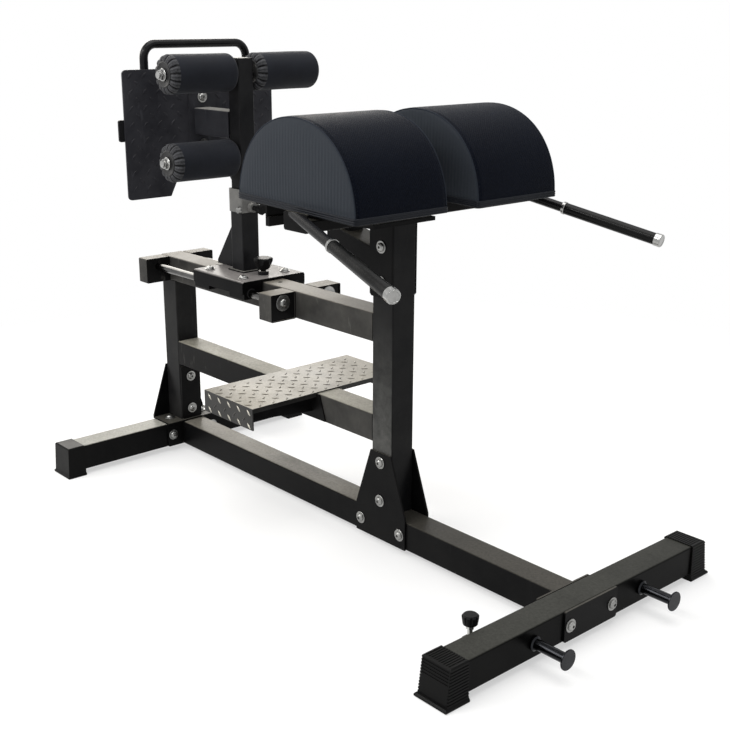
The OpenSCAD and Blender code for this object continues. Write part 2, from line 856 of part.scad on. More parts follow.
// Half-round cushion, from y = 0 to y = pad_w: piped end seams, crowned top,
// sides drawn in beside the piping, a stitched band near the base and domed ends
pad_steps = 44;
seam_z = 11;
seam_deep = 1.6;
pad_crown = 3;
end_dome = 5;
function pad_outline(inset) = let (r = pad_r - inset)
    concat([[r - 4, 0], [r, 4], [r + 0.4, seam_z - 2], [r - seam_deep, seam_z],
            [r + 0.6, seam_z + 2.5]],
        [for (i = [0 : pad_steps]) let (a = 5 + 170 * i / pad_steps, q = r + 3 * pow(sin(2 * a), 2))
            [q * cos(a), q * sin(a) * (pad_r - 1 - inset) / r]],
        [[-r - 0.6, seam_z + 2.5], [seam_deep - r, seam_z], [-r - 0.4, seam_z - 2], [-r, 4],
            [4 - r, 0]]);
pad_half = [[0, 6], [0.8, 2.2], [3.5, 0], [7, 0.4], [10.5, 3.2], [18, 1.8],
    [40, 0.2], [80, 1.2 - pad_crown]];
function pad_stations(w) = concat(pad_half, [[w / 2, -pad_crown]],
    [for (p = reversed(pad_half)) [w - p[0], p[1]]]);

module hip_pad() {
    stations = pad_stations(pad_w);
    n = len(pad_outline(0));
    m = len(stations);
    rings = concat(
        [for (k = [0.45, 0.8]) [for (p = pad_outline(6))
            [p[0] * k, -end_dome * (1 - k * k), max(p[1], 0) * k + 55 * (1 - k)]]],
        [for (s = stations) [for (p = pad_outline(s[1])) [p[0], s[0], p[1]]]],
        [for (k = [0.8, 0.45]) [for (p = pad_outline(6))
            [p[0] * k, pad_w + end_dome * (1 - k * k), max(p[1], 0) * k + 55 * (1 - k)]]]);
    rows = len(rings);
    points = concat([for (r = rings) for (p = r) p],
        [[0, -end_dome, 55], [0, pad_w + end_dome, 55]]);
    faces = concat(
        [for (j = [0 : rows - 2]) for (i = [0 : n - 1]) let (k = (i + 1) % n)
            each [[j * n + i, (j + 1) * n + i, (j + 1) * n + k],
                [j * n + i, (j + 1) * n + k, j * n + k]]],
        [for (i = [0 : n - 1]) let (k = (i + 1) % n) [rows * n, i, k]],
        [for (i = [0 : n - 1]) let (k = (i + 1) % n)
            [rows * n + 1, (rows - 1) * n + k, (rows - 1) * n + i]]);
    polyhedron(points = points, faces = faces);
}

module hip_pad_far() {
    color(vinyl) place() pad_tilt() translate([pad_x, pad_gap / 2, pad_z]) hip_pad();
}

module hip_pad_near() {
    color(vinyl) place() pad_tilt() mirror([0, 1, 0])
        translate([pad_x, pad_gap / 2, pad_z]) hip_pad();
}

// Handles: +Z of the children runs along the handle
module on_handles() {
    both_sides() translate(handle_at)
        rotate([0, 0, handle_yaw]) rotate([0, 90 + handle_pitch, 0]) children();
}

module handle_tubes() {
    color(powder) place() difference() {
        on_handles() translate([0, 0, -60]) difference() {
            cylinder(h = handle_len + 60, d = handle_d, $fn = 40);
            translate([0, 0, -1]) cylinder(h = handle_len + 62, d = handle_d - 4, $fn = 40);
        }
        translate([-tube, -end_plate_y, cross_z - tube]) cube([4 * tube, 2 * end_plate_y, 3 * tube]);
    }
}

module handle_grips() {
    r = grip_d / 2;
    bore = handle_d / 2 + seat;
    z0 = grip_from + 4;
    z1 = handle_len - 14;
    color(rubber) place() on_handles() rotate_extrude($fn = 48)
        polygon([[bore, z0], [r - 1.5, z0], [r, z0 + 2], [r, z1 - 2], [r - 1.5, z1], [bore, z1]]);
}

module handle_rings() {
    r = grip_d / 2 + 1.5;
    bore = handle_d / 2 + seat;
    color(bright) place() on_handles() {
        rotate_extrude($fn = 48) polygon([[bore, grip_from - 4], [r - 1, grip_from - 4],
            [r, grip_from - 3], [r, grip_from + 3], [r - 1, grip_from + 4],
            [bore, grip_from + 4]]);
        rotate_extrude($fn = 48) polygon([[bore, handle_len - 14], [r, handle_len - 14],
            [r, handle_len + 1], [r - 1.5, handle_len + 3], [r - 4, handle_len + 3],
            [r - 4.5, handle_len + 2.2], [0, handle_len + 2.2], [0, handle_len + seat],
            [bore, handle_len + seat]]);
    }
}

module band_pegs() {
    r = peg_d / 2;
    color(black_chrome) place() both_sides()
        translate([front_x1, peg_y, bar_mid]) rotate(TO_FRONT) rotate_extrude($fn = 48)
            polygon([[0, 0], [r + 5, 0], [r + 5, 6], [r + 2, 9], [r, 9], [r, peg_len],
                [peg_disc / 2 - 0.8, peg_len], [peg_disc / 2, peg_len + 0.8],
                [peg_disc / 2, peg_len + peg_disc_t - 0.8],
                [peg_disc / 2 - 0.8, peg_len + peg_disc_t], [0, peg_len + peg_disc_t]]);
}

// Levelling foot: lug welded to the bar, screw with a fluted knob
module level_lug() {
    r = bolt_d;
    color(powder) place() translate([level_x, -level_y, bar_mid - lug_t]) difference() {
        translate([-r, -r, 0]) cube([front_x0 - level_x + r, 2 * r, lug_t]);
        translate([0, 0, -1]) cylinder(h = lug_t + 2, r = bolt_d / 2 + axle_play, $fn = 40);
    }
}

module level_knob() {
    z0 = bar_mid + level_rise;
    z1 = z0 + knob_h;
    core = z0 + knob_h / 2;
    r = knob_d / 2;
    flutes = 9;
    color(rubber) place() translate([level_x, -level_y, 0]) {
        rotate_extrude($fn = 48) polygon([[0, 1], [18, 1], [19, 2], [19, 4], [8, 7],
            [bolt_d / 2, 7], [bolt_d / 2, core], [0, core]]);
        translate([0, 0, z0 - 9]) difference() {
            cylinder(h = 9 - clear, d = bolt_d * 1.6, $fn = 6);
            translate([0, 0, -1]) cylinder(h = 11, r = bolt_d / 2 + seat, $fn = 40);
        }
        difference() {
            rotate_extrude($fn = 60) polygon([[bolt_d / 2 + seat, z0], [r - 5, z0], [r - 2.5, z0 + 2],
                [r, z1 - 7], [r, z1 - 4], [r - 4, z1], [0, z1], [0, core + seat],
                [bolt_d / 2 + seat, core + seat]]);
            for (i = [0 : flutes - 1]) rotate([0, 0, i * 360 / flutes])
                translate([r + 0.6, 0, z0 - 1]) cylinder(h = knob_h + 2, r = 3.2, $fn = 24);
        }
    }
}

// Carriage

// Section of the bent plate; its +X points down from the top face
module carriage_section() {
    difference() {
        intersection() {
            translate([carriage_side, 0]) round_rect(2 * carriage_side, 2 * carriage_w, carriage_r);
            translate([0, -carriage_w]) square([carriage_side, 2 * carriage_w]);
        }
        translate([carriage_t, side_t - carriage_w])
            square([carriage_side, 2 * (carriage_w - side_t)]);
    }
}

module carriage_plate() {
    color(worn) place() difference() {
        intersection() {
            translate([car_x0, 0, carriage_top]) rotate(TO_FRONT)
                linear_extrude(carriage_len) carriage_section();
            translate([(car_x0 + car_x1) / 2, carriage_w, carriage_top]) rotate(TO_NEAR)
                linear_extrude(2 * carriage_w)
                    round_rect(carriage_len, 2 * carriage_side, carriage_r);
        }
        for (x = car_bolts, s = [-1, 1])
            translate([x, s * car_bolt_y, carriage_top]) bolt_hole(carriage_t);
        translate([pin_x, 0, carriage_z - 1])
            cylinder(h = carriage_t + 2, r = pin_d / 2 + pin_play, $fn = 32);
    }
}

module bearing_housings() {
    y0 = half + 3.5;
    y1 = carriage_w - side_t;
    color(powder) place() difference() {
        both_sides() for (x = [car_x0, car_x1 - housing_len])
            translate([x, y0, housing_z]) cube([housing_len, y1 - y0, carriage_z - housing_z]);
        for (s = [-1, 1]) translate([car_x0 - 1, s * rod_y, rod_z]) rotate(TO_FRONT)
            cylinder(h = carriage_len + 2, r = rod_d / 2 + bush_t + seat / 2, $fn = 48);
        for (x = car_bolts, s = [-1, 1])
            translate([x, s * car_bolt_y, carriage_z]) bolt_hole(car_bolt_len - carriage_t);
    }
}

module rod_bushes() {
    bore = rod_d / 2 + bush_play;
    color(rubber) place() for (x = [car_x0, car_x1 - housing_len], s = [-1, 1])
        translate([x, s * rod_y, rod_z]) rotate(TO_FRONT) difference() {
            cylinder(h = housing_len, r = rod_d / 2 + bush_t, $fn = 48);
            translate([0, 0, -1]) cylinder(h = housing_len + 2, r = bore, $fn = 48);
        }
}

module carriage_bolts() {
    color(bright) place() for (x = car_bolts, s = [-1, 1])
        translate([x, s * car_bolt_y, carriage_top]) screw(car_bolt_len - 1, washer_d - 4);
}

// Fixed post on its foot, the rib behind it and the boss of the slide pin
module outer_post() {
    w = post_w / 2;
    foot = w + post_foot_out;
    color(powder) place() translate([post_x, 0, 0]) {
        difference() {
            union() {
                translate([-foot, -foot, carriage_top]) cube([2 * foot, 2 * foot, post_foot_h]);
                translate([0, 0, post_z]) linear_extrude(post_top - post_z)
                    round_rect(post_w, post_w, tube_r);
                translate([0, post_rib_t / 2, 0]) rotate(TO_NEAR) linear_extrude(post_rib_t)
                    polygon([[-w + 1, carriage_top], [-w - post_rib_reach, carriage_top],
                        [-w - post_rib_reach, post_z + 6], [-w, collar_z - 6],
                        [-w + 1, collar_z - 6]]);
            }
            translate([0, 0, post_z]) linear_extrude(post_top)
                round_rect(inner_w + 2 * post_play, inner_w + 2 * post_play, 1.5);
            translate([0, 0, height_pin_z]) rotate(TO_FRONT)
                cylinder(h = post_w, r = pin_d / 2 + pin_play, $fn = 32);
        }
    }
    color(powder) place() difference() {
        translate([pin_x, 0, carriage_top]) cylinder(h = pin_boss_h, d = 30, $fn = 40);
        translate([pin_x, 0, carriage_top - 1])
            cylinder(h = pin_boss_h + 2, r = pin_d / 2 + pin_play, $fn = 32);
    }
}

module post_collar() {
    w = post_w / 2 + collar_t;
    color(worn) place() translate([post_x, 0, 0]) difference() {
        union() {
            translate([0, 0, collar_z]) linear_extrude(collar_h)
                round_rect(2 * w, 2 * w, tube_r + 2);
            translate([0, 0, height_pin_z]) rotate(TO_FRONT)
                cylinder(h = w + collar_boss_h, d = 26, $fn = 40);
        }
        translate([0, 0, collar_z - 30]) linear_extrude(collar_h + 60)
            round_rect(post_w, post_w, tube_r - 1);
        translate([0, 0, height_pin_z]) rotate(TO_FRONT)
            cylinder(h = w + 40, r = pin_d / 2 + pin_play, $fn = 32);
    }
}

// Set bolt on the near side of the collar
module collar_set_bolt() {
    color(bright) place()
        translate([post_x + post_w / 2 - 6, -post_w / 2 - collar_t, collar_z + 8])
            rotate(TO_NEAR) rotate_extrude($fn = 32)
                polygon([[0, 0], [9, 0], [10, 1], [10, 5], [8, 8], [0, 8]]);
}

// Pull pin with a lobed knob; the pin's tip is at the origin and the knob points to +Z
module pull_pin(neck, knob_from, knob_to, knob_w) {
    r = pin_d / 2;
    k = knob_w / 2;
    h = knob_to - knob_from;
    lobes = 5;
    difference() {
        rotate_extrude($fn = 48) polygon([[0, 0], [r - 1, 0], [r, 1], [r, neck], [r + 2.5, neck],
            [r + 2.5, knob_from], [k * 0.55, knob_from], [k * 0.66, knob_from + h * 0.12],
            [k * 0.93, knob_from + h * 0.62], [k, knob_from + h * 0.78],
            [k, knob_from + h * 0.92], [k - 3, knob_to], [0, knob_to]]);
        for (i = [0 : lobes - 1]) rotate([0, 0, (i + 0.3) * 360 / lobes])
            translate([k * 1.22, 0, knob_from - 1]) cylinder(h = h + 2, r = k * 0.42, $fn = 32);
    }
}

module slide_pin_knob() {
    tip = beam_top + clear;
    boss = carriage_top + pin_boss_h + clear;
    color(rubber) place() translate([pin_x, 0, tip])
        pull_pin(boss - tip, boss + 5 - tip, boss + 38 - tip, 56);
}

module height_pin_knob() {
    tip = post_x + inner_w / 2 + clear;
    boss = post_x + post_w / 2 + collar_t + collar_boss_h + clear;
    color(rubber) place() translate([tip, 0, height_pin_z]) rotate(TO_FRONT)
        pull_pin(boss - tip, boss + 12 - tip, boss + 42 - tip, 30);
}

// Sliding post with rollers, foot plate and loop handle

module inner_post() {
    t = 2.5;
    color(powder) place() translate([post_x, 0, 0]) {
        difference() {
            translate([0, 0, inner_z]) linear_extrude(inner_top - inner_z - 4)
                tube_section(inner_w, inner_w, t, 3);
            for (z = [roller_top_z, roller_low_z]) translate([0, -inner_w, z])
                rotate(TO_FAR) cylinder(h = 2 * inner_w, r = axle_d / 2 + seat, $fn = 40);
            for (z = [inner_z + 20 : pin_pitch : post_top - 14])
                translate([0, 0, z]) rotate(TO_FRONT)
                    cylinder(h = inner_w, d = pin_hole_d, $fn = 32);
        }
        translate([0, 0, inner_top - 4]) linear_extrude(4)
            round_rect(inner_w, inner_w, 3);
        translate([0, 0, inner_top - 16]) linear_extrude(12)
            round_rect(inner_w - 2 * t, inner_w - 2 * t, 0.6);
    }
}

module foot_plate_stub() {
    x1 = post_x - inner_w / 2;
    x0 = foot_x + plate_t;
    color(powder) place() {
        translate([x0, 0, stub_plate_z]) rotate(TO_FRONT)
            linear_extrude(x1 - x0) tube_section(stub_tube_h, post_w, wall, tube_r);
        translate([foot_x, 0, stub_plate_z]) rotate(TO_FRONT) difference() {
            linear_extrude(plate_t)
                round_rect(2 * (stub_bolt_dz + stub_bolt_edge), stub_flange_w, 6);
            for (s = [-1, 1]) translate([s * stub_bolt_dz, 0, plate_t]) bolt_hole(plate_t);
        }
    }
}

module foot_plate() {
    neck = notch_w - notch_step;
    notch = [[notch_w, -1], [notch_w, 0], [neck, 38], [neck, 58], [neck - 10, 68]];
    color(rubber) place() translate([foot_x - plate_t, 0, 0]) difference() {
        translate([0, 0, foot_z + foot_h / 2]) rotate(TO_FRONT)
            linear_extrude(plate_t) round_rect(foot_h, foot_w, foot_r);
        rotate([90, 0, 90]) translate([0, 0, -1]) linear_extrude(plate_t + 2)
            polygon([for (s = [1, -1], p = s > 0 ? notch : reversed(notch))
                [s * p[0], foot_z + p[1]]]);
        for (s = [-1, 1]) translate([plate_t, 0, stub_plate_z + s * stub_bolt_dz])
            rotate(TO_FRONT) bolt_hole(plate_t);
    }
}

// Bar across the back of the foot plate; its near end stands out as a tab
module plate_stiffener() {
    color(powder) place()
        translate([foot_x - plate_t - stiff_t, -stiff_out, stiff_z]) rotate(TO_FRONT)
            linear_extrude(stiff_t) round_rect(stiff_h, foot_w, 6);
}

module plate_bolts() {
    color(bright) place() for (s = [-1, 1])
        translate([foot_x + plate_t, 0, stub_plate_z + s * stub_bolt_dz])
            rotate(TO_FRONT) bolt(2 * plate_t);
}

module loop_handle() {
    y = loop_w / 2 - loop_d / 2;
    color(powder) place() translate([loop_x, 0, 0]) {
        both_sides() {
            translate([0, y, loop_leg_z])
                cylinder(h = loop_z - loop_r - loop_leg_z, d = loop_d, $fn = 40);
            translate([0, y - loop_r, loop_z - loop_r]) rotate([90, 0, 90])
                rotate_extrude(angle = 90, $fn = 48)
                    translate([loop_r, 0]) circle(d = loop_d, $fn = 40);
        }
        translate([0, -y + loop_r, loop_z]) rotate(TO_FAR)
            cylinder(h = 2 * (y - loop_r), d = loop_d, $fn = 40);
    }
}

module roller_axles() {
    len = 2 * (roller_y1 + axle_out);
    color(bright) place() for (z = [roller_top_z, roller_low_z])
        translate([post_x, -len / 2, z]) rotate(TO_FAR) cylinder(h = len, d = axle_d, $fn = 40);
}

// Spacers beside the post, washers and nuts at the outer ends
module axle_nuts() {
    bore = axle_d / 2 + seat;
    color(bright) place() for (z = [roller_top_z, roller_low_z])
        both_sides() translate([post_x, 0, z]) rotate(TO_FAR) {
            rotate_extrude($fn = 40) polygon([[bore, inner_w / 2], [bore + 5, inner_w / 2],
                [bore + 5, roller_y0 - clear], [bore, roller_y0 - clear]]);
            rotate_extrude($fn = 40) polygon([[bore, roller_y1 + clear], [17, roller_y1 + clear],
                [17, roller_y1 + 2], [16, roller_y1 + 3], [bore, roller_y1 + 3]]);
            translate([0, 0, roller_y1 + 3]) difference() {
                cylinder(h = axle_out - 9, d = axle_d * 1.5, $fn = 6);
                translate([0, 0, -1]) cylinder(h = axle_out, r = bore, $fn = 40);
            }
        }
}

// Foam roller along +Y: a cap at each end and the cover drawn in round it
module roller(z) {
    r = roller_d / 2;
    bore = axle_d / 2 + axle_play;
    cap = r * 0.64;
    end = [[cap - 1, 0], [cap, 1], [cap, 4], [cap - 2, 5], [cap + 2, 5.5], [r - 9, 7],
        [r - 4.5, 10], [r - 1.8, 14], [r - 0.4, 19], [r, 25]];
    color(foam) place() translate([post_x, roller_y0, z]) rotate(TO_FAR)
        rotate_extrude($fn = 72) polygon(concat([[bore, 0]], end, [[r + 0.4, roller_len / 2]],
            [for (p = reversed(end)) [p[0], roller_len - p[1]]], [[bore, roller_len]]));
}

module top_roller_far() roller(roller_top_z);

module top_roller_near() mirror([0, 1, 0]) roller(roller_top_z);

module bottom_roller_far() roller(roller_low_z);

module bottom_roller_near() mirror([0, 1, 0]) roller(roller_low_z);

front_foot_bar();
rear_foot_bar();
front_foot_caps();
rear_foot_caps();
main_rail();
front_clamp_plate();
base_bolts();
rear_upright();
rear_base_bracket();
rear_bracket_bolts();
front_upright();
lower_gusset_plates();
lower_gusset_bolts();
middle_rail();
step_plate();
step_bracket();
step_bolt();
slide_beam();
rear_rod_brackets();
front_rod_brackets();
guide_rods();
rod_bolts();
pad_side_plates();
pad_bracket_bolts();
pad_saddle();
pad_strut();
cross_tube();
pad_boards();
hip_pad_near();
hip_pad_far();
handle_tubes();
handle_grips();
handle_rings();
band_pegs();
level_lug();
level_knob();
carriage_plate();
bearing_housings();
rod_bushes();
carriage_bolts();
outer_post();
post_collar();
collar_set_bolt();
slide_pin_knob();
height_pin_knob();
inner_post();
foot_plate_stub();
foot_plate();
plate_stiffener();
plate_bolts();
loop_handle();
roller_axles();
axle_nuts();
top_roller_near();
top_roller_far();
bottom_roller_near();
bottom_roller_far();
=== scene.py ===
import math

import bmesh
import bpy
import numpy as np
from mathutils import Euler, Matrix, Vector
from mathutils.bvhtree import BVHTree


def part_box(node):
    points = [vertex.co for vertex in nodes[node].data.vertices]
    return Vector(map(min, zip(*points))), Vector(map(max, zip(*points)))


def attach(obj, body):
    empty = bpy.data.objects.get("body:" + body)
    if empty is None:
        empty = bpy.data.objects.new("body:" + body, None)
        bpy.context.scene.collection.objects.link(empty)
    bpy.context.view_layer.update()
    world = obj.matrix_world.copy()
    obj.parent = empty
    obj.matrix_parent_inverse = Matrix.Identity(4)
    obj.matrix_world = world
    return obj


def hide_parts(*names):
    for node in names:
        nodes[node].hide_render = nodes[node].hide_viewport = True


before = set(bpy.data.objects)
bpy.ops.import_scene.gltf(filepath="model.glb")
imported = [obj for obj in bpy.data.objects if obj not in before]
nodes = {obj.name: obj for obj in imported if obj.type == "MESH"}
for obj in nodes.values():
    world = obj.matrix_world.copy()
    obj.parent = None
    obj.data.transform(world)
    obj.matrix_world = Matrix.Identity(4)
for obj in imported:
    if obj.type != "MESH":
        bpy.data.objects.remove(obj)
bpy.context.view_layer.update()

# All lengths are in metres. +X is the front, -Y the side that the photo shows nearest.
TURN = 2 * math.pi
WHITE = (1.0, 1.0, 1.0, 1.0)

# X of the rear face of the front upright; pads, rollers and camera are placed from there
UPRIGHT = 0.1087

# Camera fitted to the photo
FOCAL_MM, SENSOR_MM = 57.10, 36.0
CAMERA_AT = Vector((2.09075 + UPRIGHT, -1.91263, 1.33649))
CAMERA_TURN = (73.1246, -0.1180, 48.5205)    # degrees about X, Y and Z

# Hip pads: axis of the half-round, radius, width, and the gap between the two
PAD_X, PAD_Z = UPRIGHT + 0.0565, 0.911
PAD_R, PAD_W, PAD_GAP = 0.211, 0.278, 0.098
RIB_PITCH = 0.0105    # ribs of the cloth on the pads' end faces
# They are pitched forward about this line across the saddle
HINGE = Vector((UPRIGHT + 0.129, 0.0, 0.9027))
PITCH_DEG = 1.7
TILT = (Matrix.Translation(HINGE) @ Matrix.Rotation(math.radians(PITCH_DEG), 4, "Y")
        @ Matrix.Translation(-HINGE))

# Foam rollers: axis, radius, inner end and length, and how many petals gather the near end
ROLL_X, ROLL_R, ROLL_Y0, ROLL_LEN = UPRIGHT - 0.588, 0.0515, 0.032, 0.216
ROLL_Z = {"top": 1.183, "bottom": 0.953}
PETALS = 15


def add_object(name, data):
    obj = bpy.data.objects.new(name, data)
    bpy.context.scene.collection.objects.link(obj)
    return obj


# Camera
def make_camera():
    data = bpy.data.cameras.new("photo_camera")
    data.sensor_width = SENSOR_MM
    data.lens = FOCAL_MM
    data.clip_start = 0.05
    data.clip_end = 200.0
    cam = add_object("photo_camera", data)
    turn = Euler([math.radians(a) for a in CAMERA_TURN]).to_matrix().to_4x4()
    cam.matrix_world = Matrix.Translation(CAMERA_AT) @ turn
    bpy.context.scene.camera = cam


make_camera()


# Node helpers
class Graph:
    """A material's nodes, with short calls for the ones used here."""

    def __init__(self, name):
        self.mat = bpy.data.materials.new(name)
        self.mat.use_nodes = True
        self.tree = self.mat.node_tree
        self.shader = self.tree.nodes["Principled BSDF"]
        place = self.add("ShaderNodeTexCoord")
        self.at = place.outputs["Object"]
        self.facing = place.outputs["Normal"]

    def add(self, kind, **values):
        node = self.tree.nodes.new(kind)
        for key, value in values.items():
            setattr(node, key, value)
        return node

    def link(self, a, b):
        self.tree.links.new(a, b)

    def put(self, socket, value):
        """Link an output to the socket, or set it to a constant."""
        if hasattr(value, "is_output"):
            self.link(value, socket)
        else:
            socket.default_value = value

    def math(self, op, a, b=0.0, clamp=False):
        node = self.add("ShaderNodeMath", operation=op, use_clamp=clamp)
        self.put(node.inputs[0], a)
        self.put(node.inputs[1], b)
        return node.outputs[0]

    def times(self, a, b, clamp=False):
        return self.math("MULTIPLY", a, b, clamp)

    def plus(self, a, b):
        return self.math("ADD", a, b)

    def wave(self, a, length):
        """Sine of a length along the surface."""
        return self.math("SINE", self.times(a, TURN / length))

    def noise(self, scale, detail=2.0, rough=0.5, stretch=None):
        at = self.at
        if stretch:
            mapping = self.add("ShaderNodeMapping")
            mapping.inputs["Scale"].default_value = stretch
            self.link(at, mapping.inputs["Vector"])
            at = mapping.outputs["Vector"]
        node = self.add("ShaderNodeTexNoise")
        node.inputs["Scale"].default_value = scale
        node.inputs["Detail"].default_value = detail
        node.inputs["Roughness"].default_value = rough
        self.link(at, node.inputs["Vector"])
        return node.outputs["Fac"]

    def ramp(self, value, low, high, start=0.0, end=1.0):
        """low up to start, high from end on, and straight between."""
        node = self.add("ShaderNodeMapRange")
        self.put(node.inputs["Value"], value)
        node.inputs["From Min"].default_value = start
        node.inputs["From Max"].default_value = end
        node.inputs["To Min"].default_value = low
        node.inputs["To Max"].default_value = high
        return node.outputs["Result"]

    def mix(self, share, a, b):
        """Colour a, turned into b by share."""
        node = self.add("ShaderNodeMix", data_type="RGBA")
        self.put(node.inputs[0], share)
        for socket, color in ((node.inputs[6], a), (node.inputs[7], b)):
            self.put(socket, color + (1.0,) if isinstance(color, tuple) else color)
        return node.outputs[2]

    def axis(self, which, of=None):
        node = self.add("ShaderNodeSeparateXYZ")
        self.link(of or self.at, node.inputs[0])
        return node.outputs[which]

    def bump(self, height, distance, strength):
        node = self.add("ShaderNodeBump")
        node.inputs["Strength"].default_value = strength
        node.inputs["Distance"].default_value = distance
        self.link(height, node.inputs["Height"])
        return node.outputs["Normal"]

    def base(self, color, rough, normal=None, metal=0.0, spec=None, sheen=None, sheen_rough=None):
        inputs = self.shader.inputs
        for key, value in (("Base Color", color), ("Roughness", rough), ("Metallic", metal),
                           ("Specular IOR Level", spec), ("Sheen Weight", sheen),
                           ("Sheen Roughness", sheen_rough)):
            if value is not None:
                self.put(inputs[key], value)
        if normal is not None:
            self.link(normal, inputs["Normal"])
        return self.mat


def shades(tone, *factors):
    return tuple(tuple(c * f for c in tone) for f in factors)


# Materials
BLACK_LOW, BLACK_HIGH = (0.0026, 0.0026, 0.0029), (0.0056, 0.0055, 0.0055)
# black for sides that reflect darker surroundings: painted reflection
DARK_REFLECTION_BLACK = (0.0050, 0.0049, 0.0050)
# black for faces that look forward: painted shade
FRONT_SHADE_BLACK = (0.0060, 0.0059, 0.0060)


def dust_and_reflection_veil(g, cover, patchy, dust_and_reflection_until):
    """Share of dust and painted reflection: on what faces up, in specks and larger patches."""
    speck = g.ramp(g.noise(140.0, 5.0, 0.75), 0.55, 1.0, 0.30, 0.70)
    patch = g.ramp(g.noise(5.5, 4.0, 0.6, stretch=(0.6, 1.0, 1.0)), patchy, 1.0, 0.32, 0.60)
    # painted reflection, with dust: faces that point up are made paler
    facing_up = g.ramp(g.axis(2, g.facing), 0.0, cover, 0.55, 0.96)
    veil = g.times(facing_up, g.times(speck, patch), clamp=True)
    if dust_and_reflection_until is not None:
        thinned = g.ramp(g.axis(0), 1.0, 0.30, dust_and_reflection_until - 0.1, dust_and_reflection_until + 0.1)
        veil = g.times(veil, thinned)
    return veil


def painted_floor_reflection(g):
    """Share painted pale as a reflection of the floor: low down on the near side."""
    low_down = g.ramp(g.axis(2), 1.0, 0.0, 0.30, 0.62)
    near_side = g.ramp(g.axis(1, g.facing), 1.0, 0.0, -0.95, -0.6)
    spots = g.ramp(g.noise(24.0, 5.0, 0.7), 0.45, 1.0, 0.35, 0.65)
    return g.times(g.times(low_down, near_side), spots)


def powder_coat(name, low=BLACK_LOW, high=BLACK_HIGH, rough=0.34, dust_and_reflection=(0.14, 0.132, 0.112),
                cover=0.55, gloss=0.055, worn_from=None, dust_and_reflection_until=None, floor_reflection_tone=None,
                scuff_share=0.35, patchy=0.65, painted_front_shade=False):
    """Black powder coat: orange-peel bump, soft clouds, scuffs, and pale tops on what faces up,
    partly dust and partly painted reflection. worn_from is the X where the sides turn from black, a
    painted dark reflection, to the paler tones, dust_and_reflection_until the X where dust and
    painted reflection thin out, scuffed the tone of a painted floor reflection low on the near
    side, and painted_front_shade paints shade black on the faces that look forward."""
    g = Graph(name)
    cloud = g.noise(9.0, 4.0, 0.6)
    height = g.plus(g.times(g.noise(1500.0, 1.0), 0.5), g.noise(420.0))
    scuff = g.ramp(g.noise(38.0, 6.0, 0.7, stretch=(1.0, 1.0, 0.25)), 0.0, 1.0, 0.60, 0.80)
    color = g.mix(g.ramp(cloud, 0.0, 1.0, 0.35, 0.65), low, high)
    # painted reflection: behind worn_from the sides are black, as they reflect darker surroundings
    # there
    if worn_from is not None:
        row = g.plus(g.axis(0), g.times(cloud, 0.06))
        color = g.mix(g.ramp(row, 1.0, 0.0, worn_from, worn_from + 0.10), color, DARK_REFLECTION_BLACK)
    # painted shade: faces that look forward are made black
    if painted_front_shade:
        color = g.mix(g.ramp(g.axis(0, g.facing), 0.0, 1.0, 0.6, 0.9), color, FRONT_SHADE_BLACK)
    color = g.mix(g.times(scuff, scuff_share), color, *shades(high, 3.2))
    # painted floor reflection, pale low on the near side
    if floor_reflection_tone is not None:
        color = g.mix(painted_floor_reflection(g), color, floor_reflection_tone)
    # pale tops: partly dust, partly painted reflection
    color = g.mix(dust_and_reflection_veil(g, cover, patchy, dust_and_reflection_until), color, dust_and_reflection)
    matt = g.plus(g.ramp(cloud, rough - 0.04, rough + 0.06, 0.3, 0.7), g.times(scuff, 0.10))
    return g.base(color, matt, g.bump(height, 0.00008, 0.55), spec=gloss)


def rubber(name, tone, rough, gloss, top_paleness):
    """Black rubber; bloom is how many times paler it is on faces that point up."""
    g = Graph(name)
    grain = g.noise(900.0, 3.0)
    cloud = g.noise(14.0, 3.0)
    color = g.mix(g.ramp(cloud, 0.0, 1.0, 0.3, 0.7), (tone * 0.7,) * 3,
                  (tone * 1.5, tone * 1.5, tone * 1.45))
    paler_on_top = g.times(g.ramp(g.axis(2, g.facing), 0.0, 0.25, 0.5, 0.95), cloud)
    color = g.mix(paler_on_top, color, *shades((tone, tone * 0.97, tone * 0.9), top_paleness))
    return g.base(color, g.ramp(cloud, rough - 0.06, rough + 0.08, 0.3, 0.7),
                  g.bump(grain, 0.00012, 0.6), spec=gloss)


def plated(name, tone, rough, turned=(1.0, 1.0, 1.0)):
    """Plated steel with duller spots; turned stretches its fine streaks round the X axis."""
    g = Graph(name)
    streak = g.noise(120.0, 3.0, 0.6, stretch=turned)
    spots = g.noise(30.0, 5.0, 0.6)
    color = g.mix(g.ramp(spots, 0.0, 1.0, 0.35, 0.7), *shades(tone, 0.62, 1.0))
    return g.base(color, g.ramp(streak, rough - 0.07, rough + 0.10, 0.3, 0.7),
                  g.bump(streak, 0.00004, 0.4), metal=1.0)


def moulded(name, tone=0.005, rough=0.42, gloss=0.08, metal_below=None):
    """Moulded black plastic; metal_below turns what is under that height into zinc."""
    g = Graph(name)
    spark = g.noise(1300.0)
    cloud = g.noise(20.0)
    color = g.mix(cloud, (tone * 0.8,) * 3, (tone * 1.6, tone * 1.6, tone * 1.7))
    metal = 0.0
    if metal_below is not None:
        metal = g.math("LESS_THAN", g.axis(2), metal_below)
        color = g.mix(metal, color, g.mix(cloud, (0.40, 0.40, 0.38), (0.66, 0.66, 0.64)))
    return g.base(color, g.ramp(cloud, rough - 0.05, rough + 0.07, 0.3, 0.7),
                  g.bump(spark, 0.00006, 0.5), metal, spec=gloss)


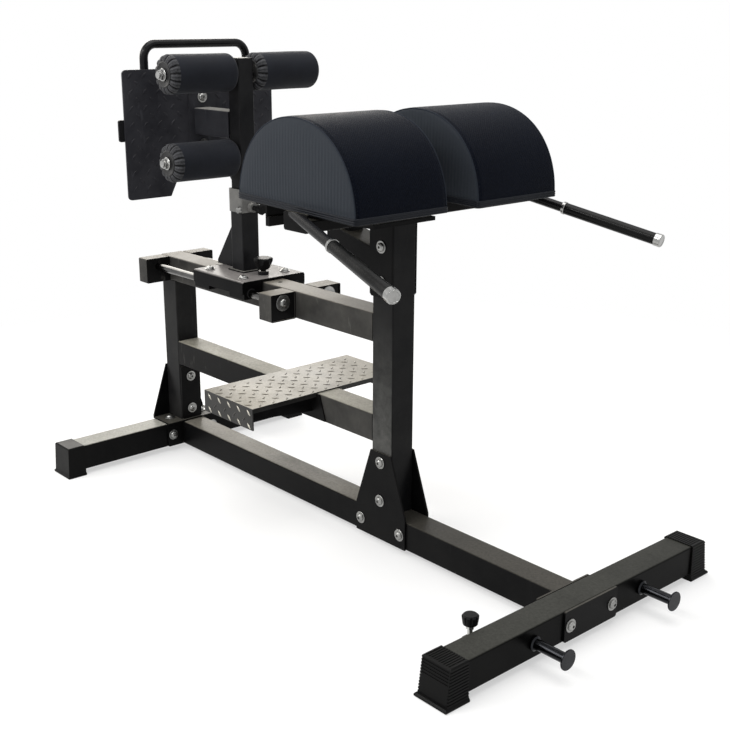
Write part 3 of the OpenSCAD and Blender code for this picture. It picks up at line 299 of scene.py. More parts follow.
def woven_vinyl(name):
    """Coated cloth with a fine twill that runs round the half-round pad and along it."""
    twill = 0.0034
    g = Graph(name)
    x = g.math("SUBTRACT", g.axis(0), PAD_X)
    z = g.math("SUBTRACT", g.axis(2), PAD_Z)
    arc = g.times(g.math("ARCTAN2", z, x), PAD_R)
    along = g.axis(1)
    one_way = g.wave(g.plus(arc, along), twill)
    other_way = g.wave(g.math("SUBTRACT", arc, along), twill * 2)
    weave = g.times(g.plus(one_way, 1.0), g.plus(other_way, 1.0))
    grain = g.noise(330.0, 3.0)
    cloud = g.noise(6.0, 3.0)
    height = g.plus(g.times(weave, 0.10), grain)
    tone = g.mix(g.ramp(grain, 0.0, 1.0, 0.38, 0.62), (0.0007, 0.0015, 0.0042),
                 (0.0033, 0.0048, 0.0098))
    tone = g.mix(g.ramp(cloud, 0.0, 0.30, 0.4, 0.7), tone, (0.0054, 0.0071, 0.0122))
    return g.base(tone, g.ramp(cloud, 0.40, 0.48, 0.3, 0.7), g.bump(height, 0.0011, 0.8),
                  spec=0.03)


def ribbed_cloth(name):
    """Knitted end faces of the pads, with faint upright ribs."""
    g = Graph(name)
    wander = g.times(g.noise(9.0, stretch=(1.0, 1.0, 0.2)), 0.006)
    across = g.plus(g.axis(0), wander)
    rib = g.wave(across, RIB_PITCH)
    stitches = g.wave(across, 0.0026)
    rows = g.wave(g.axis(2), 0.0018)
    grain = g.noise(900.0, 3.0)
    cloud = g.noise(5.0)
    height = g.plus(g.plus(g.times(stitches, 0.6), g.times(rows, 0.3)), grain)
    shade = g.plus(g.times(rib, g.ramp(g.noise(7.0), 0.02, 0.15, 0.35, 0.65)),
                   g.times(g.math("SUBTRACT", grain, 0.5), 0.9))
    tone = g.mix(g.ramp(shade, 0.0, 1.0, -0.5, 0.5), (0.0160, 0.0198, 0.0262),
                 (0.0300, 0.0350, 0.0430))
    tone = g.mix(g.ramp(cloud, 0.0, 0.25, 0.35, 0.7), tone, (0.036, 0.041, 0.049))
    return g.base(tone, 0.66, g.bump(height, 0.00024, 0.7), spec=0.10, sheen=0.02,
                  sheen_rough=0.5)


def sewn_trim(name, tone, rough, gloss):
    """Piping, foot band or thread."""
    g = Graph(name)
    grain = g.noise(900.0, 3.0)
    color = g.mix(grain, *shades(tone, 0.7, 1.0))
    return g.base(color, rough, g.bump(grain, 0.0001, 0.5), spec=gloss)


def roller_cloth(name):
    """Brushed nylon over foam, with a fine cross weave."""
    thread = 0.0016
    g = Graph(name)
    weave = g.times(g.wave(g.axis(1), thread), g.wave(g.axis(2), thread))
    grain = g.noise(1300.0)
    cloud = g.noise(16.0, 4.0)
    height = g.plus(g.times(weave, 0.4), grain)
    tone = g.mix(g.ramp(cloud, 0.0, 1.0, 0.3, 0.7), (0.0068, 0.0077, 0.0112),
                 (0.0132, 0.0147, 0.0200))
    tone = g.mix(g.ramp(grain, 0.0, 0.4, 0.45, 0.7), tone, (0.019, 0.0205, 0.0255))
    return g.base(tone, g.ramp(cloud, 0.58, 0.72, 0.3, 0.7), g.bump(height, 0.0002, 0.7),
                  spec=0.10, sheen=0.05, sheen_rough=0.4)


def gathered_cloth(name):
    """The same cloth drawn into petals, with painted shade in each fold and a painted highlight
    beside each crown.
    """
    g = Graph(name)
    turn = g.math("ARCTAN2", g.axis(2), g.axis(0))
    crown = g.math("ABSOLUTE", g.math("COSINE", g.times(turn, PETALS / 2)))
    grain = g.noise(1300.0)
    streak = g.noise(260.0, 3.0)
    # painted highlight beside each crown; painted shade in the folds and at the crown's middle
    edge = g.math("SINE", g.times(g.math("POWER", crown, 1.6), math.pi * 0.80))
    shade = g.plus(edge, g.ramp(streak, -0.25, 0.25, 0.3, 0.7))
    tone = g.mix(g.ramp(shade, 0.0, 1.0, 0.20, 1.05), (0.0022, 0.0024, 0.0032),
                 (0.056, 0.057, 0.062))
    return g.base(tone, 0.58, g.bump(grain, 0.0002, 0.6), spec=0.12, sheen=0.05,
                  sheen_rough=0.4)


def painted_wood(name):
    g = Graph(name)
    grain = g.noise(60.0, 5.0, 0.6, stretch=(1.0, 8.0, 8.0))
    color = g.mix(grain, (0.008, 0.008, 0.008), (0.018, 0.0175, 0.017))
    return g.base(color, 0.6, g.bump(grain, 0.0002, 0.5), spec=0.2)


# Paler side tones: painted reflection of the bright surroundings, with painted shade on the fronts.
PALE_SIDES = dict(low=(0.026, 0.0255, 0.0245), high=(0.056, 0.054, 0.050), rough=0.42, gloss=0.07,
            scuff_share=0.55, painted_front_shade=True)
ALONG_X = (1.0, 14.0, 14.0)
LEVEL_KNOB_Z = 0.0838    # the levelling knob's plastic starts here, above its screw
# The dust colours below give the pale tops: partly dust, partly painted reflection.
M = {
    "powder": powder_coat("powder_black"),
    # the front upright has a painted floor reflection low on its near side
    "upright": powder_coat("powder_upright", (0.0058, 0.0059, 0.0065), (0.0130, 0.0129, 0.0130),
                           gloss=0.075, floor_reflection_tone=(0.085, 0.085, 0.081)),
    "rear_upright": powder_coat("powder_rear_upright", (0.0075, 0.0075, 0.0080),
                                (0.0165, 0.0163, 0.0160), gloss=0.075),
    "post": powder_coat("powder_post", (0.0075, 0.0076, 0.0085), (0.0150, 0.0150, 0.0158),
                        dust_and_reflection=(0.30, 0.29, 0.265), cover=0.7, gloss=0.08),
    "rail": powder_coat("powder_rail", dust_and_reflection=(0.25, 0.232, 0.195), cover=0.85, dust_and_reflection_until=0.12),
    "carriage": powder_coat("powder_carriage", dust_and_reflection=(0.33, 0.31, 0.30), cover=0.7, gloss=0.05),
    "foot_bar": powder_coat("powder_foot_bar", (0.0018, 0.0018, 0.0018), (0.0040, 0.0040, 0.0038),
                            dust_and_reflection=(0.085, 0.085, 0.074), cover=0.6, gloss=0.04),
    "rear_bar": powder_coat("powder_rear_bar", dust_and_reflection=(0.52, 0.51, 0.455), cover=0.9),
    "worn": powder_coat("powder_worn", dust_and_reflection=(0.24, 0.218, 0.182), cover=0.8, **PALE_SIDES),
    "mid_rail": powder_coat("powder_mid_rail", dust_and_reflection=(0.46, 0.435, 0.36), cover=0.9,
                            worn_from=-0.30, **PALE_SIDES),
    "collar": powder_coat("powder_collar", (0.130, 0.129, 0.126), (0.215, 0.212, 0.203), 0.42,
                          dust_and_reflection=(0.36, 0.35, 0.32), cover=0.8, gloss=0.2),
    "stub": powder_coat("powder_stub", (0.020, 0.0205, 0.0245), (0.036, 0.0365, 0.042), 0.40,
                        dust_and_reflection=(0.40, 0.39, 0.36), cover=0.85, gloss=0.1),
    "tube": powder_coat("powder_tube", (0.0030, 0.0030, 0.0036), (0.0066, 0.0065, 0.0072), 0.24,
                        dust_and_reflection=(0.024, 0.024, 0.027), cover=0.5, gloss=0.14),
    "step": powder_coat("powder_step", (0.012, 0.0118, 0.0112), (0.026, 0.0252, 0.0238), 0.34,
                        dust_and_reflection=(0.275, 0.248, 0.190), cover=0.97, gloss=0.22, patchy=0.42),
    "plate": powder_coat("tread_black", (0.0220, 0.0222, 0.0265), (0.0400, 0.0402, 0.0460), 0.44,
                         dust_and_reflection=(0.20, 0.19, 0.17), cover=0.6),
    "cap": rubber("cap_rubber", 0.0018, rough=0.42, gloss=0.08, top_paleness=5.0),
    "grip": rubber("grip_rubber", 0.0026, rough=0.24, gloss=0.12, top_paleness=1.0),
    "bright": plated("bright_zinc", (0.36, 0.36, 0.35), 0.30),
    "axle": plated("axle_steel", (0.48, 0.48, 0.47), 0.26),
    "chrome": plated("ring_chrome", (0.40, 0.40, 0.39), 0.16),
    "rod": plated("rod_chrome", (0.120, 0.119, 0.116), 0.15, ALONG_X),
    "peg": plated("peg_chrome", (0.026, 0.027, 0.030), 0.20, ALONG_X),
    # bright metal only on the lozenges that catch the light: painted glint
    "lozenge": plated("worn_lozenge", (0.60, 0.575, 0.50), 0.36),
    "knob": moulded("knob_plastic"),
    "level_knob": moulded("level_knob_plastic", metal_below=LEVEL_KNOB_Z),
    "bush": moulded("bush_plastic", 0.02, 0.5),
    "disc": moulded("roller_disc", 0.012, 0.42, 0.25),
    "vinyl": woven_vinyl("pad_vinyl"),
    "ribbed": ribbed_cloth("pad_end_cloth"),
    # the piping's tone, paler than the cover's, is a painted sheen along it
    "piping": sewn_trim("pad_piping", (0.026, 0.031, 0.041), 0.72, 0.05),
    "band": sewn_trim("pad_band", (0.0075, 0.0092, 0.0135), 0.44, 0.12),
    "thread": sewn_trim("seam_thread", (0.034, 0.038, 0.047), 0.85, 0.02),
    "roller": roller_cloth("roller_cloth"),
    "petal": gathered_cloth("roller_gather"),
    "board": painted_wood("pad_board"),
}

# Which CAD nodes have which finish; the others are plain powder coat
FINISH = {
    "upright": ["front_upright"],
    "rear_upright": ["rear_upright"],
    "foot_bar": ["front_foot_bar"],
    "rear_bar": ["rear_foot_bar"],
    "rail": ["main_rail"],
    "mid_rail": ["middle_rail"],
    "worn": ["slide_beam", "rear_rod_brackets", "front_rod_brackets"],
    "carriage": ["carriage_plate"],
    "post": ["outer_post", "inner_post", "plate_stiffener"],
    "collar": ["post_collar"],
    "stub": ["foot_plate_stub"],
    "tube": ["handle_tubes", "loop_handle"],
    "step": ["step_plate"],
    "plate": ["foot_plate"],
    "cap": ["front_foot_caps", "rear_foot_caps"],
    "grip": ["handle_grips"],
    "bright": ["base_bolts", "rear_bracket_bolts", "lower_gusset_bolts", "step_bolt", "rod_bolts",
               "pad_bracket_bolts", "carriage_bolts", "collar_set_bolt", "plate_bolts"],
    "axle": ["roller_axles", "axle_nuts"],
    "chrome": ["handle_rings"],
    "rod": ["guide_rods"],
    "peg": ["band_pegs"],
    "knob": ["slide_pin_knob", "height_pin_knob"],
    "level_knob": ["level_knob"],
    "bush": ["rod_bushes"],
    "board": ["pad_boards"],
}

finish_of = {node: finish for finish, names in FINISH.items() for node in names}
for name, obj in nodes.items():
    obj.data.materials.clear()
    obj.data.materials.append(M[finish_of.get(name, "powder")])


# Mesh helpers
def face_outwards(mesh):
    bm = bmesh.new()
    bm.from_mesh(mesh)
    bmesh.ops.recalc_face_normals(bm, faces=bm.faces)
    bm.to_mesh(mesh)
    bm.free()


def shade_smooth(mesh):
    mesh.polygons.foreach_set("use_smooth", [True] * len(mesh.polygons))


def get_coords(mesh):
    co = np.empty(len(mesh.vertices) * 3)
    mesh.vertices.foreach_get("co", co)
    return co.reshape(-1, 3)


def set_coords(mesh, coords):
    mesh.vertices.foreach_set("co", np.ascontiguousarray(coords, dtype=np.float32).ravel())
    mesh.update()


def new_piece(name, verts, faces, material=None, smooth=True):
    mesh = bpy.data.meshes.new(name)
    mesh.from_pydata([tuple(v) for v in verts], [], faces)
    mesh.validate()
    face_outwards(mesh)
    if material is not None:
        mesh.materials.append(material)
    if smooth:
        shade_smooth(mesh)
    return add_object(name, mesh)


def drop(obj):
    mesh = obj.data
    bpy.data.objects.remove(obj)
    bpy.data.meshes.remove(mesh)


def evaluated_copy(obj, name):
    """obj's mesh with its modifiers applied, as a mesh of its own."""
    view = bpy.context.evaluated_depsgraph_get()
    view.update()
    mesh = bpy.data.meshes.new_from_object(obj.evaluated_get(view))
    mesh.name = name
    return mesh


def ring_faces(rows, n):
    """Quads between rows of n points each, closed round."""
    out = []
    for j in range(rows - 1):
        for i in range(n):
            k = (i + 1) % n
            out.append((j * n + i, j * n + k, (j + 1) * n + k, (j + 1) * n + i))
    return out


def end_faces(rows, n):
    """The two faces that close the first and the last of such rows."""
    return [tuple(range(n)), tuple((rows - 1) * n + i for i in range(n))]


def tube_along(points, radius, sides=10):
    """Verts and faces of a tube, closed at both ends, along points that lie almost in one XZ
    plane."""
    verts, up, last = [], Vector((0, 1, 0)), len(points) - 1
    for i, p in enumerate(points):
        d = (points[min(i + 1, last)] - points[max(i - 1, 0)]).normalized()
        side = d.cross(up).normalized()
        up = side.cross(d).normalized()
        for s in range(sides):
            a = TURN * s / sides
            verts.append(p + radius * (math.cos(a) * side + math.sin(a) * up))
    return verts, ring_faces(len(points), sides) + end_faces(len(points), sides)


def even_mesh(verts, faces, voxel):
    """A closed form remeshed into even quads."""
    rough = new_piece("rough_form", verts, faces)
    remesh = rough.modifiers.new("even", "REMESH")
    remesh.mode = "VOXEL"
    remesh.voxel_size = voxel
    mesh = evaluated_copy(rough, "even_form")
    drop(rough)
    return mesh


def blown(mesh, held, cap, pressure, frames):
    """Coordinates of mesh after cloth under pressure has filled it. held marks the points that
    seams and boards hold, cap is how far each of the others may move."""
    rest = get_coords(mesh)
    obj = add_object("cloth_form", mesh.copy())
    group = obj.vertex_groups.new(name="seam")
    group.add([int(i) for i in np.nonzero(held)[0]], 1.0, "REPLACE")
    cloth = obj.modifiers.new("fill", "CLOTH")
    s = cloth.settings
    s.quality = 5
    s.mass = 0.3
    s.tension_stiffness = s.compression_stiffness = 15.0
    s.bending_stiffness = 0.5
    s.use_pressure = True
    s.uniform_pressure_force = pressure
    s.effector_weights.gravity = 0.0
    s.vertex_group_mass = "seam"
    cloth.collision_settings.use_collision = False
    cloth.point_cache.frame_start, cloth.point_cache.frame_end = 1, frames
    for f in range(1, frames + 1):
        bpy.context.scene.frame_set(f)
    done = evaluated_copy(obj, "cloth_result")
    moved = get_coords(done) - rest
    bpy.context.scene.frame_set(1)
    drop(obj)
    bpy.data.meshes.remove(done)
    length = np.maximum(np.linalg.norm(moved, axis=1), 1e-9)
    return rest + moved * (cap * np.tanh(length / cap) / length)[:, None]


def smoothed_piece(name, mesh, coords, materials):
    """A piece with these coordinates, one subdivision finer."""
    set_coords(mesh, coords)
    coarse = add_object(name + "_coarse", mesh)
    sub = coarse.modifiers.new("finer", "SUBSURF")
    sub.levels = sub.render_levels = 1
    finer = evaluated_copy(coarse, name)
    drop(coarse)
    finer.materials.clear()
    for m in materials:
        finer.materials.append(m)
    shade_smooth(finer)
    return add_object(name, finer)


def join_forms(forms):
    """One list of verts and one of faces from several."""
    verts, faces = [], []
    for v, f in forms:
        k = len(verts)
        verts.extend(v)
        faces.extend(tuple(k + i for i in q) for q in f)
    return verts, faces


def loop_strip(path, outward, profile):
    """A closed strip that runs round a closed path; profile is (height, out) pairs in a loop."""
    verts = []
    for p, n in zip(path, outward):
        verts.extend(p + n * out + Vector((0, 0, h)) for h, out in profile)
    m, rows = len(profile), len(path)
    faces = []
    for j in range(rows):
        for i in range(m):
            k, q = (i + 1) % m, (j + 1) % rows
            faces.append((j * m + i, j * m + k, q * m + k, q * m + i))
    return verts, faces


STITCH, STITCH_GAP, STITCH_THICK = 0.0034, 0.0016, 0.00042


def stitch_row(points, normals):
    """Separate stitches that follow a line on a surface, each a small spindle let into it."""
    forms, left = [], STITCH_GAP
    for a, b, n in zip(points, points[1:], normals):
        step = (b - a).length
        out = n.normalized()
        while left + STITCH < step:
            p, q = a.lerp(b, left / step), a.lerp(b, (left + STITCH) / step)
            s = (q - p).normalized().cross(out)
            waist = [p.lerp(q, 0.5) + STITCH_THICK * v
                     for v in (out * 1.1, s * 1.3, -out * 0.6, -s * 1.3)]
            sunk = out * STITCH_THICK * 0.5
            faces = [(0, 2 + (i + 1) % 4, 2 + i) for i in range(4)]
            faces += [(1, 2 + i, 2 + (i + 1) % 4) for i in range(4)]
            forms.append(([p - sunk, q - sunk] + waist, faces))
            left += STITCH + STITCH_GAP
        left = max(left - step, 0.0)
    return join_forms(forms)


# Hip pads
VOXEL = 0.0054           # mesh size of the cover before its last subdivision
SHOULDER_OUT = 0.003     # how far the pad's shoulders stand out of a half circle
TOP_DOWN = 0.001         # and how far its top stays below one
COVER_IN = 0.0008        # the unfilled cover is this much smaller
FOOT_H = 0.004           # bevel at the foot
END_ROUNDING = ((0.0, 0.0045), (0.0016, 0.0014), (0.0050, 0.0))    # (from the end, inset)

HELD_DEEP, HELD_WIDE = 0.008, 0.0115    # strip along the seams that stays in place
HELD_BASE = 0.0165                      # and the one round the foot
FLAT_END = 0.004                        # nearer to the end than this, a point is on its face
FILL_END, FILL_ARC = 0.0050, 0.0030     # how far the end faces and the arc may fill out
FILL_PRESSURE, FILL_FRAMES = 4.0, 20

BAND_TOP = 0.0152                       # height of the stitched band round the pad's foot
END_NORMAL, RIBBED_NORMAL = 0.85, 0.72  # |Y| of the normal from which a point is on the end
                                        # face, and from which a face has the ribbed cloth
RIB_H, RIB_MARGIN, RIB_FADE = 0.00035, 0.012, 0.03                 # ribs fade out near the rim
CREASE_UP, CREASE_H, CREASE_DEEP = 0.004, 0.005, 0.0012            # above the band, on the ends
CHANNEL_IN, CHANNEL_W, CHANNEL_DEEP = 0.0085, 0.0028, 0.0011       # sewn channel beside the rim
STITCH_IN = 0.0088

PIPING_R, PIPING_OUT = 0.0016, 0.0003   # radius, and how far its centre stays off the cover
PIPING_EVEN = 5                         # it is evened out over so many points each way
BAND_CORNER, BAND_IN, BAND_STEP = 0.006, 0.0006, 0.012    # corner radius, inset, point spacing
BAND_SEAMS, THREAD_OUT = (0.0046, 0.0094), 0.0005
# (height, out) round the band's section: three rolls with a sewn line in each groove
BAND_PROFILE = [(0.0003, -0.003), (0.0005, 0.0006), (0.0012, 0.0014), (0.0026, 0.0018),
                (0.0038, 0.0013), (BAND_SEAMS[0], 0.0002), (0.0054, 0.0013), (0.0070, 0.0018),
                (0.0086, 0.0013), (BAND_SEAMS[1], 0.0002), (0.0102, 0.0012), (0.0120, 0.0017),
                (0.0138, 0.0012), (BAND_TOP, 0.0001), (BAND_TOP, -0.003)]


def pad_arc(inset=0.0, count=100, low=3.0):
    """Half-round outline in the pad's own X and Z, from the front foot over to the rear one."""
    r = PAD_R - inset
    out = []
    for i in range(count + 1):
        a = math.radians(low + (180 - 2 * low) * i / count)
        q = r + SHOULDER_OUT * math.sin(2 * a) ** 2
        out.append((q * math.cos(a), q * math.sin(a) * (r - TOP_DOWN) / r))
    return out


def pad_form():
    """Closed half-round form, from y = 0 to y = PAD_W."""
    rings = [(y + COVER_IN, inset + COVER_IN) for y, inset in END_ROUNDING]
    rings += [(PAD_W - y, inset) for y, inset in reversed(rings)]
    verts = []
    for y, inset in rings:
        arc = pad_arc(inset)
        foot = [(arc[0][0], FOOT_H), (arc[0][0] - FOOT_H, 0.0)]
        ring = foot[::-1] + arc + [(-x, z) for x, z in foot]
        verts.extend((x, y, z) for x, z in ring)
    rows, n = len(rings), len(ring)
    return verts, ring_faces(rows, n) + end_faces(rows, n)


def pad_cover():
    """The simulated cover in the pad's own frame: rest mesh and filled coordinates."""
    mesh = even_mesh(*pad_form(), VOXEL)
    rest = get_coords(mesh)
    from_end = np.minimum(rest[:, 1], PAD_W - rest[:, 1])
    on_arc = np.hypot(rest[:, 0], rest[:, 2]) > PAD_R - HELD_DEEP
    held = on_arc & (from_end < HELD_WIDE) | (rest[:, 2] < HELD_BASE)
    cap = np.where(from_end < FLAT_END, FILL_END, FILL_ARC)
    return mesh, blown(mesh, held, cap, FILL_PRESSURE, FILL_FRAMES)


def bell(distance, width):
    return math.exp(-(distance / width) ** 2)


def end_relief(x, z):
    """Knitted ribs of an end face, less the crease above the foot band."""
    share = min(1.0, max(0.0, (PAD_R - RIB_MARGIN - math.hypot(x, z)) / RIB_FADE))
    wander = 0.0012 * math.sin(31.0 * z + 2.0)
    ribs = RIB_H * share * math.sin(TURN * (x + wander) / RIB_PITCH)
    return ribs - CREASE_DEEP * bell(z - BAND_TOP - CREASE_UP, CREASE_H)


def finish_pad(name, side, cover, filled):
    """The pad's cover in place, with its ribs, creases and sewn channels."""
    coords = filled.copy()
    coords[:, 0] += PAD_X
    coords[:, 1] = side * (PAD_GAP / 2 + coords[:, 1])
    coords[:, 2] += PAD_Z
    obj = smoothed_piece(name, cover.copy(), coords, [M["vinyl"], M["ribbed"]])
    bm = bmesh.new()
    bm.from_mesh(obj.data)
    bmesh.ops.recalc_face_normals(bm, faces=bm.faces)
    bm.normal_update()
    for v in bm.verts:
        from_inner = abs(v.co.y) - PAD_GAP / 2
        from_end = min(from_inner, PAD_W - from_inner)
        x, z = v.co.x - PAD_X, v.co.z - PAD_Z
        n = v.normal.copy()
        if z < FOOT_H:
            continue
        if abs(n.y) > END_NORMAL:
            v.co += n * end_relief(x, z)
        elif from_end > FLAT_END:
            v.co -= n * CHANNEL_DEEP * bell(from_end - CHANNEL_IN, CHANNEL_W)
    for f in bm.faces:
        f.material_index = 1 if abs(f.normal.y) > RIBBED_NORMAL else 0
    bm.transform(TILT)
    bm.to_mesh(obj.data)
    bm.free()
    return obj


def rim_line(pad, end):
    """Centre line of the piping at the pad's end face, where Y is end. It lies on the cover's
    rounded rim, evened out along its length."""
    tree = BVHTree.FromPolygons([v.co for v in pad.data.vertices],
                                [f.vertices for f in pad.data.polygons])
    back = TILT.inverted()
    corners, dips = [], []
    for x, z in pad_arc(count=110, low=3.6):
        corner = Vector((PAD_X + x, end, PAD_Z + z))
        outward = Vector((x, 0.0, z)).normalized()
        dip = back @ tree.find_nearest(TILT @ corner)[0] - corner
        corners.append((corner, outward))
        dips.append((dip.dot(outward), dip.y))
    padded = np.pad(np.array(dips), ((PIPING_EVEN, PIPING_EVEN), (0, 0)), mode="edge")
    line = []
    for i, (corner, outward) in enumerate(corners):
        radial, along = padded[i:i + 2 * PIPING_EVEN + 1].mean(axis=0)
        keep = 1.0 - PIPING_OUT / max(math.hypot(radial, along), 2 * PIPING_OUT)
        line.append(corner + outward * radial * keep + Vector((0.0, along * keep, 0.0)))
    return line


def rim_stitches(end):
    """Topstitching on the arc, at this Y."""
    arc = pad_arc(inset=0.0016, count=150, low=5.0)
    return stitch_row([Vector((PAD_X + x, end, PAD_Z + z)) for x, z in arc],
                      [Vector((x, 0, z)) for x, z in arc])


def foot_loop(side):
    """Points round the pad's foot, with rounded corners, and the way out at each."""
    path, outward = [], []
    x_in, y_in = PAD_R - BAND_IN - BAND_CORNER, BAND_CORNER
    for cx, cy, start in ((x_in, PAD_W - y_in, 0), (-x_in, PAD_W - y_in, 90),
                          (-x_in, y_in, 180), (x_in, y_in, 270)):
        for k in range(7):
            a = math.radians(start + 15 * k)
            path.append((cx + BAND_CORNER * math.cos(a), cy + BAND_CORNER * math.sin(a)))
            outward.append((math.cos(a), math.sin(a)))
    points, normals = [], []
    for i, (p, n) in enumerate(zip(path, outward)):
        q, m = path[(i + 1) % len(path)], outward[(i + 1) % len(path)]
        steps = max(1, int(math.dist(p, q) / BAND_STEP))
        for k in range(steps):
            t = k / steps
            x, y = p[0] + (q[0] - p[0]) * t, p[1] + (q[1] - p[1]) * t
            nx, ny = n[0] + (m[0] - n[0]) * t, n[1] + (m[1] - n[1]) * t
            points.append(Vector((PAD_X + x, side * (PAD_GAP / 2 + y), PAD_Z)))
            normals.append(Vector((nx, side * ny, 0)) / math.hypot(nx, ny))
    return points, normals


def pad_trim(side, pad):
    """Piping on both end arcs, the stitched band round the foot, and the topstitching."""
    ends = [side * PAD_GAP / 2, side * (PAD_GAP / 2 + PAD_W)]
    inward = (side, -side)
    tubes = [tube_along(rim_line(pad, end), PIPING_R) for end in ends]
    threads = [rim_stitches(end + way * STITCH_IN) for end, way in zip(ends, inward)]
    points, normals = foot_loop(side)
    band = loop_strip(points, normals, BAND_PROFILE)
    ring, facing = points + points[:1], normals + normals[:1]
    for h in BAND_SEAMS:
        row = [p + n * THREAD_OUT + Vector((0, 0, h)) for p, n in zip(ring, facing)]
        threads.append(stitch_row(row, facing))
    return join_forms(tubes), band, join_forms(threads)


def tilted_piece(name, form, material):
    return new_piece(name, [TILT @ Vector(v) for v in form[0]], form[1], material)


cover_mesh, cover_filled = pad_cover()
for side, label in ((-1, "near"), (1, "far")):
    pad = finish_pad("pad_cover_" + label, side, cover_mesh, cover_filled)
    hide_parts("hip_pad_" + label)
    tubes, band, threads = pad_trim(side, pad)
    pieces = [pad, tilted_piece("pad_piping_" + label, tubes, M["piping"]),
              tilted_piece("pad_band_" + label, band, M["band"]),
              tilted_piece("pad_stitches_" + label, threads, M["thread"])]
    for piece in pieces:
        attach(piece, "frame")


# Rollers
SLEEVE, DISC, GATHER = 0, 1, 2    # parts of a roller, which are also its material slots
# (radius, y) of the end disc from its bore to its lip, and of the sleeve where the gathers end
DISC_RINGS = ((0.0080, 0.0030), (0.0110, 0.0022), (0.0280, 0.0020), (0.0300, 0.0012),
              (0.0318, 0.0003), (0.0332, 0.0008), (0.0336, 0.0026))
SLEEVE_RINGS = ((0.0514, 0.0235), (0.0515, 0.0285))
GATHER_R, GATHER_Y = 0.0336, 0.0028        # where the gathered part starts, inside the lip
GATHER_OUT, GATHER_LONG = 0.0177, 0.0160   # and its quarter round
GATHER_HELD = 0.2                          # this share of it is held by the disc
GATHER_ROWS, MIDDLE_ROWS, MIDDLE_START = 13, 35, 0.033
PETAL_H, PETAL_BASE = 0.0078, 0.74
SLEEVE_WAVE = 0.00035
SLEEVE_FILL, SLEEVE_PRESSURE, SLEEVE_FRAMES = 0.0011, 2.0, 10
KEPT_IN = 0.0003                           # petals stay this far inside the roller's ends


def roller_profile():
    """(radius, y, way round the gathered part, part) of each ring, from end to end. The first end
    is drawn into petals and the other is sewn plain over the edge."""
    end = [(r, y, 0.0, DISC) for r, y in DISC_RINGS]
    for i in range(GATHER_ROWS):
        t = i / (GATHER_ROWS - 1)
        a = math.radians(90 * t)
        end.append((GATHER_R + GATHER_OUT * math.sin(a),
                    GATHER_Y + GATHER_LONG * (1 - math.cos(a)), t, GATHER))
    end += [(r, y, 0.0, SLEEVE) for r, y in SLEEVE_RINGS]
    span = ROLL_LEN - 2 * MIDDLE_START
    middle = [(ROLL_R, MIDDLE_START + span * k / (MIDDLE_ROWS - 1), 0.0, SLEEVE)
              for k in range(MIDDLE_ROWS)]
    plain = [(r, ROLL_LEN - y, t, SLEEVE if part == GATHER else part) for r, y, t, part in end]
    return end + middle + plain[::-1]


def petal_height(a, t, seed):
    """How far the petals stand out of the quarter round at turn a and share t of it."""
    k = int(a * PETALS / TURN + 0.5) % PETALS
    crown = abs(math.cos(PETALS * a / 2)) ** 0.6
    size = math.sin(math.pi * t) ** 0.7 * (0.80 + 0.30 * math.sin(2.4 * k + seed))
    return PETAL_H * (crown - PETAL_BASE) * size


def sleeve_mesh(seed):
    """Foam roller about its own axis (Y), from y = 0 to y = ROLL_LEN, filled by the cloth
    simulation."""
    around = PETALS * 14
    profile = roller_profile()
    verts, kind, held = [], [], []
    for r, y, t, part in profile:
        for s in range(around):
            a = TURN * s / around
            dr = dy = 0.0
            if part == GATHER:
                bulge = petal_height(a, t, seed)
                slope = math.radians(90 * t)
                dr, dy = bulge * math.sin(slope), -bulge * math.cos(slope)
            elif part == SLEEVE:
                dr = SLEEVE_WAVE * math.sin(3 * a + seed) * math.sin(28 * y + seed)
            rr, yy = r + dr, min(max(y + dy, KEPT_IN), ROLL_LEN - KEPT_IN)
            verts.append((rr * math.cos(a), yy, rr * math.sin(a)))
            kind.append(part)
            held.append(part == DISC or (part == GATHER and t < GATHER_HELD))
    faces = ring_faces(len(profile), around) + end_faces(len(profile), around)
    mesh = bpy.data.meshes.new("sleeve_form")
    mesh.from_pydata(verts, [], faces)
    face_outwards(mesh)
    set_coords(mesh, blown(mesh, np.array(held), np.full(len(verts), SLEEVE_FILL),
                           SLEEVE_PRESSURE, SLEEVE_FRAMES))
    for finish in ("roller", "disc", "petal"):
        mesh.materials.append(M[finish])
    for p in mesh.polygons:
        parts = {kind[v] for v in p.vertices}
        p.material_index = DISC if DISC in parts else max(parts)
    shade_smooth(mesh)
    return mesh


sleeve = sleeve_mesh(seed=0.6)
for level, z in ROLL_Z.items():
    for side, label in ((-1, "near"), (1, "far")):
        body = "%s_%s_roller" % (level, label)
        piece = add_object("sleeve_%s_%s" % (level, label), sleeve.copy())
        start = ROLL_Y0 if side > 0 else -ROLL_Y0 - ROLL_LEN
        # Each sleeve has stopped at an angle of its own
        spin = Matrix.Rotation(0.5 * side + 3.0 * z, 4, "Y")
        piece.matrix_world = Matrix.Translation((ROLL_X, start, z)) @ spin
        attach(piece, body)
        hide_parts("%s_roller_%s" % (level, label))


# Tread plates
PITCH = 0.0444                    # between lozenges that lean the same way
HALF = PITCH / 2
REACH = 60                        # lozenges are tried so many half pitches each way
LOZENGE_L, LOZENGE_W, LOZENGE_H = 0.0112, 0.0034, 0.0012     # half length, half width, height
EDGE_MARGIN = 0.0105              # lozenges keep this far from the plate's edges
LOW_ROW = 0.0088                  # lowest row on the step's end flanges
# Middles of lozenges in the photo. The two on the step lean left, so a lozenge that leans right
# is half a pitch further on both ways.
STEP_START = (-0.302, -0.221)     # X, Y on its top
FLANGE_START = (-0.307, 0.343)    # X, Z on its near flange
PLATE_START = (-0.098, 1.084)     # Y, Z on the foot plate
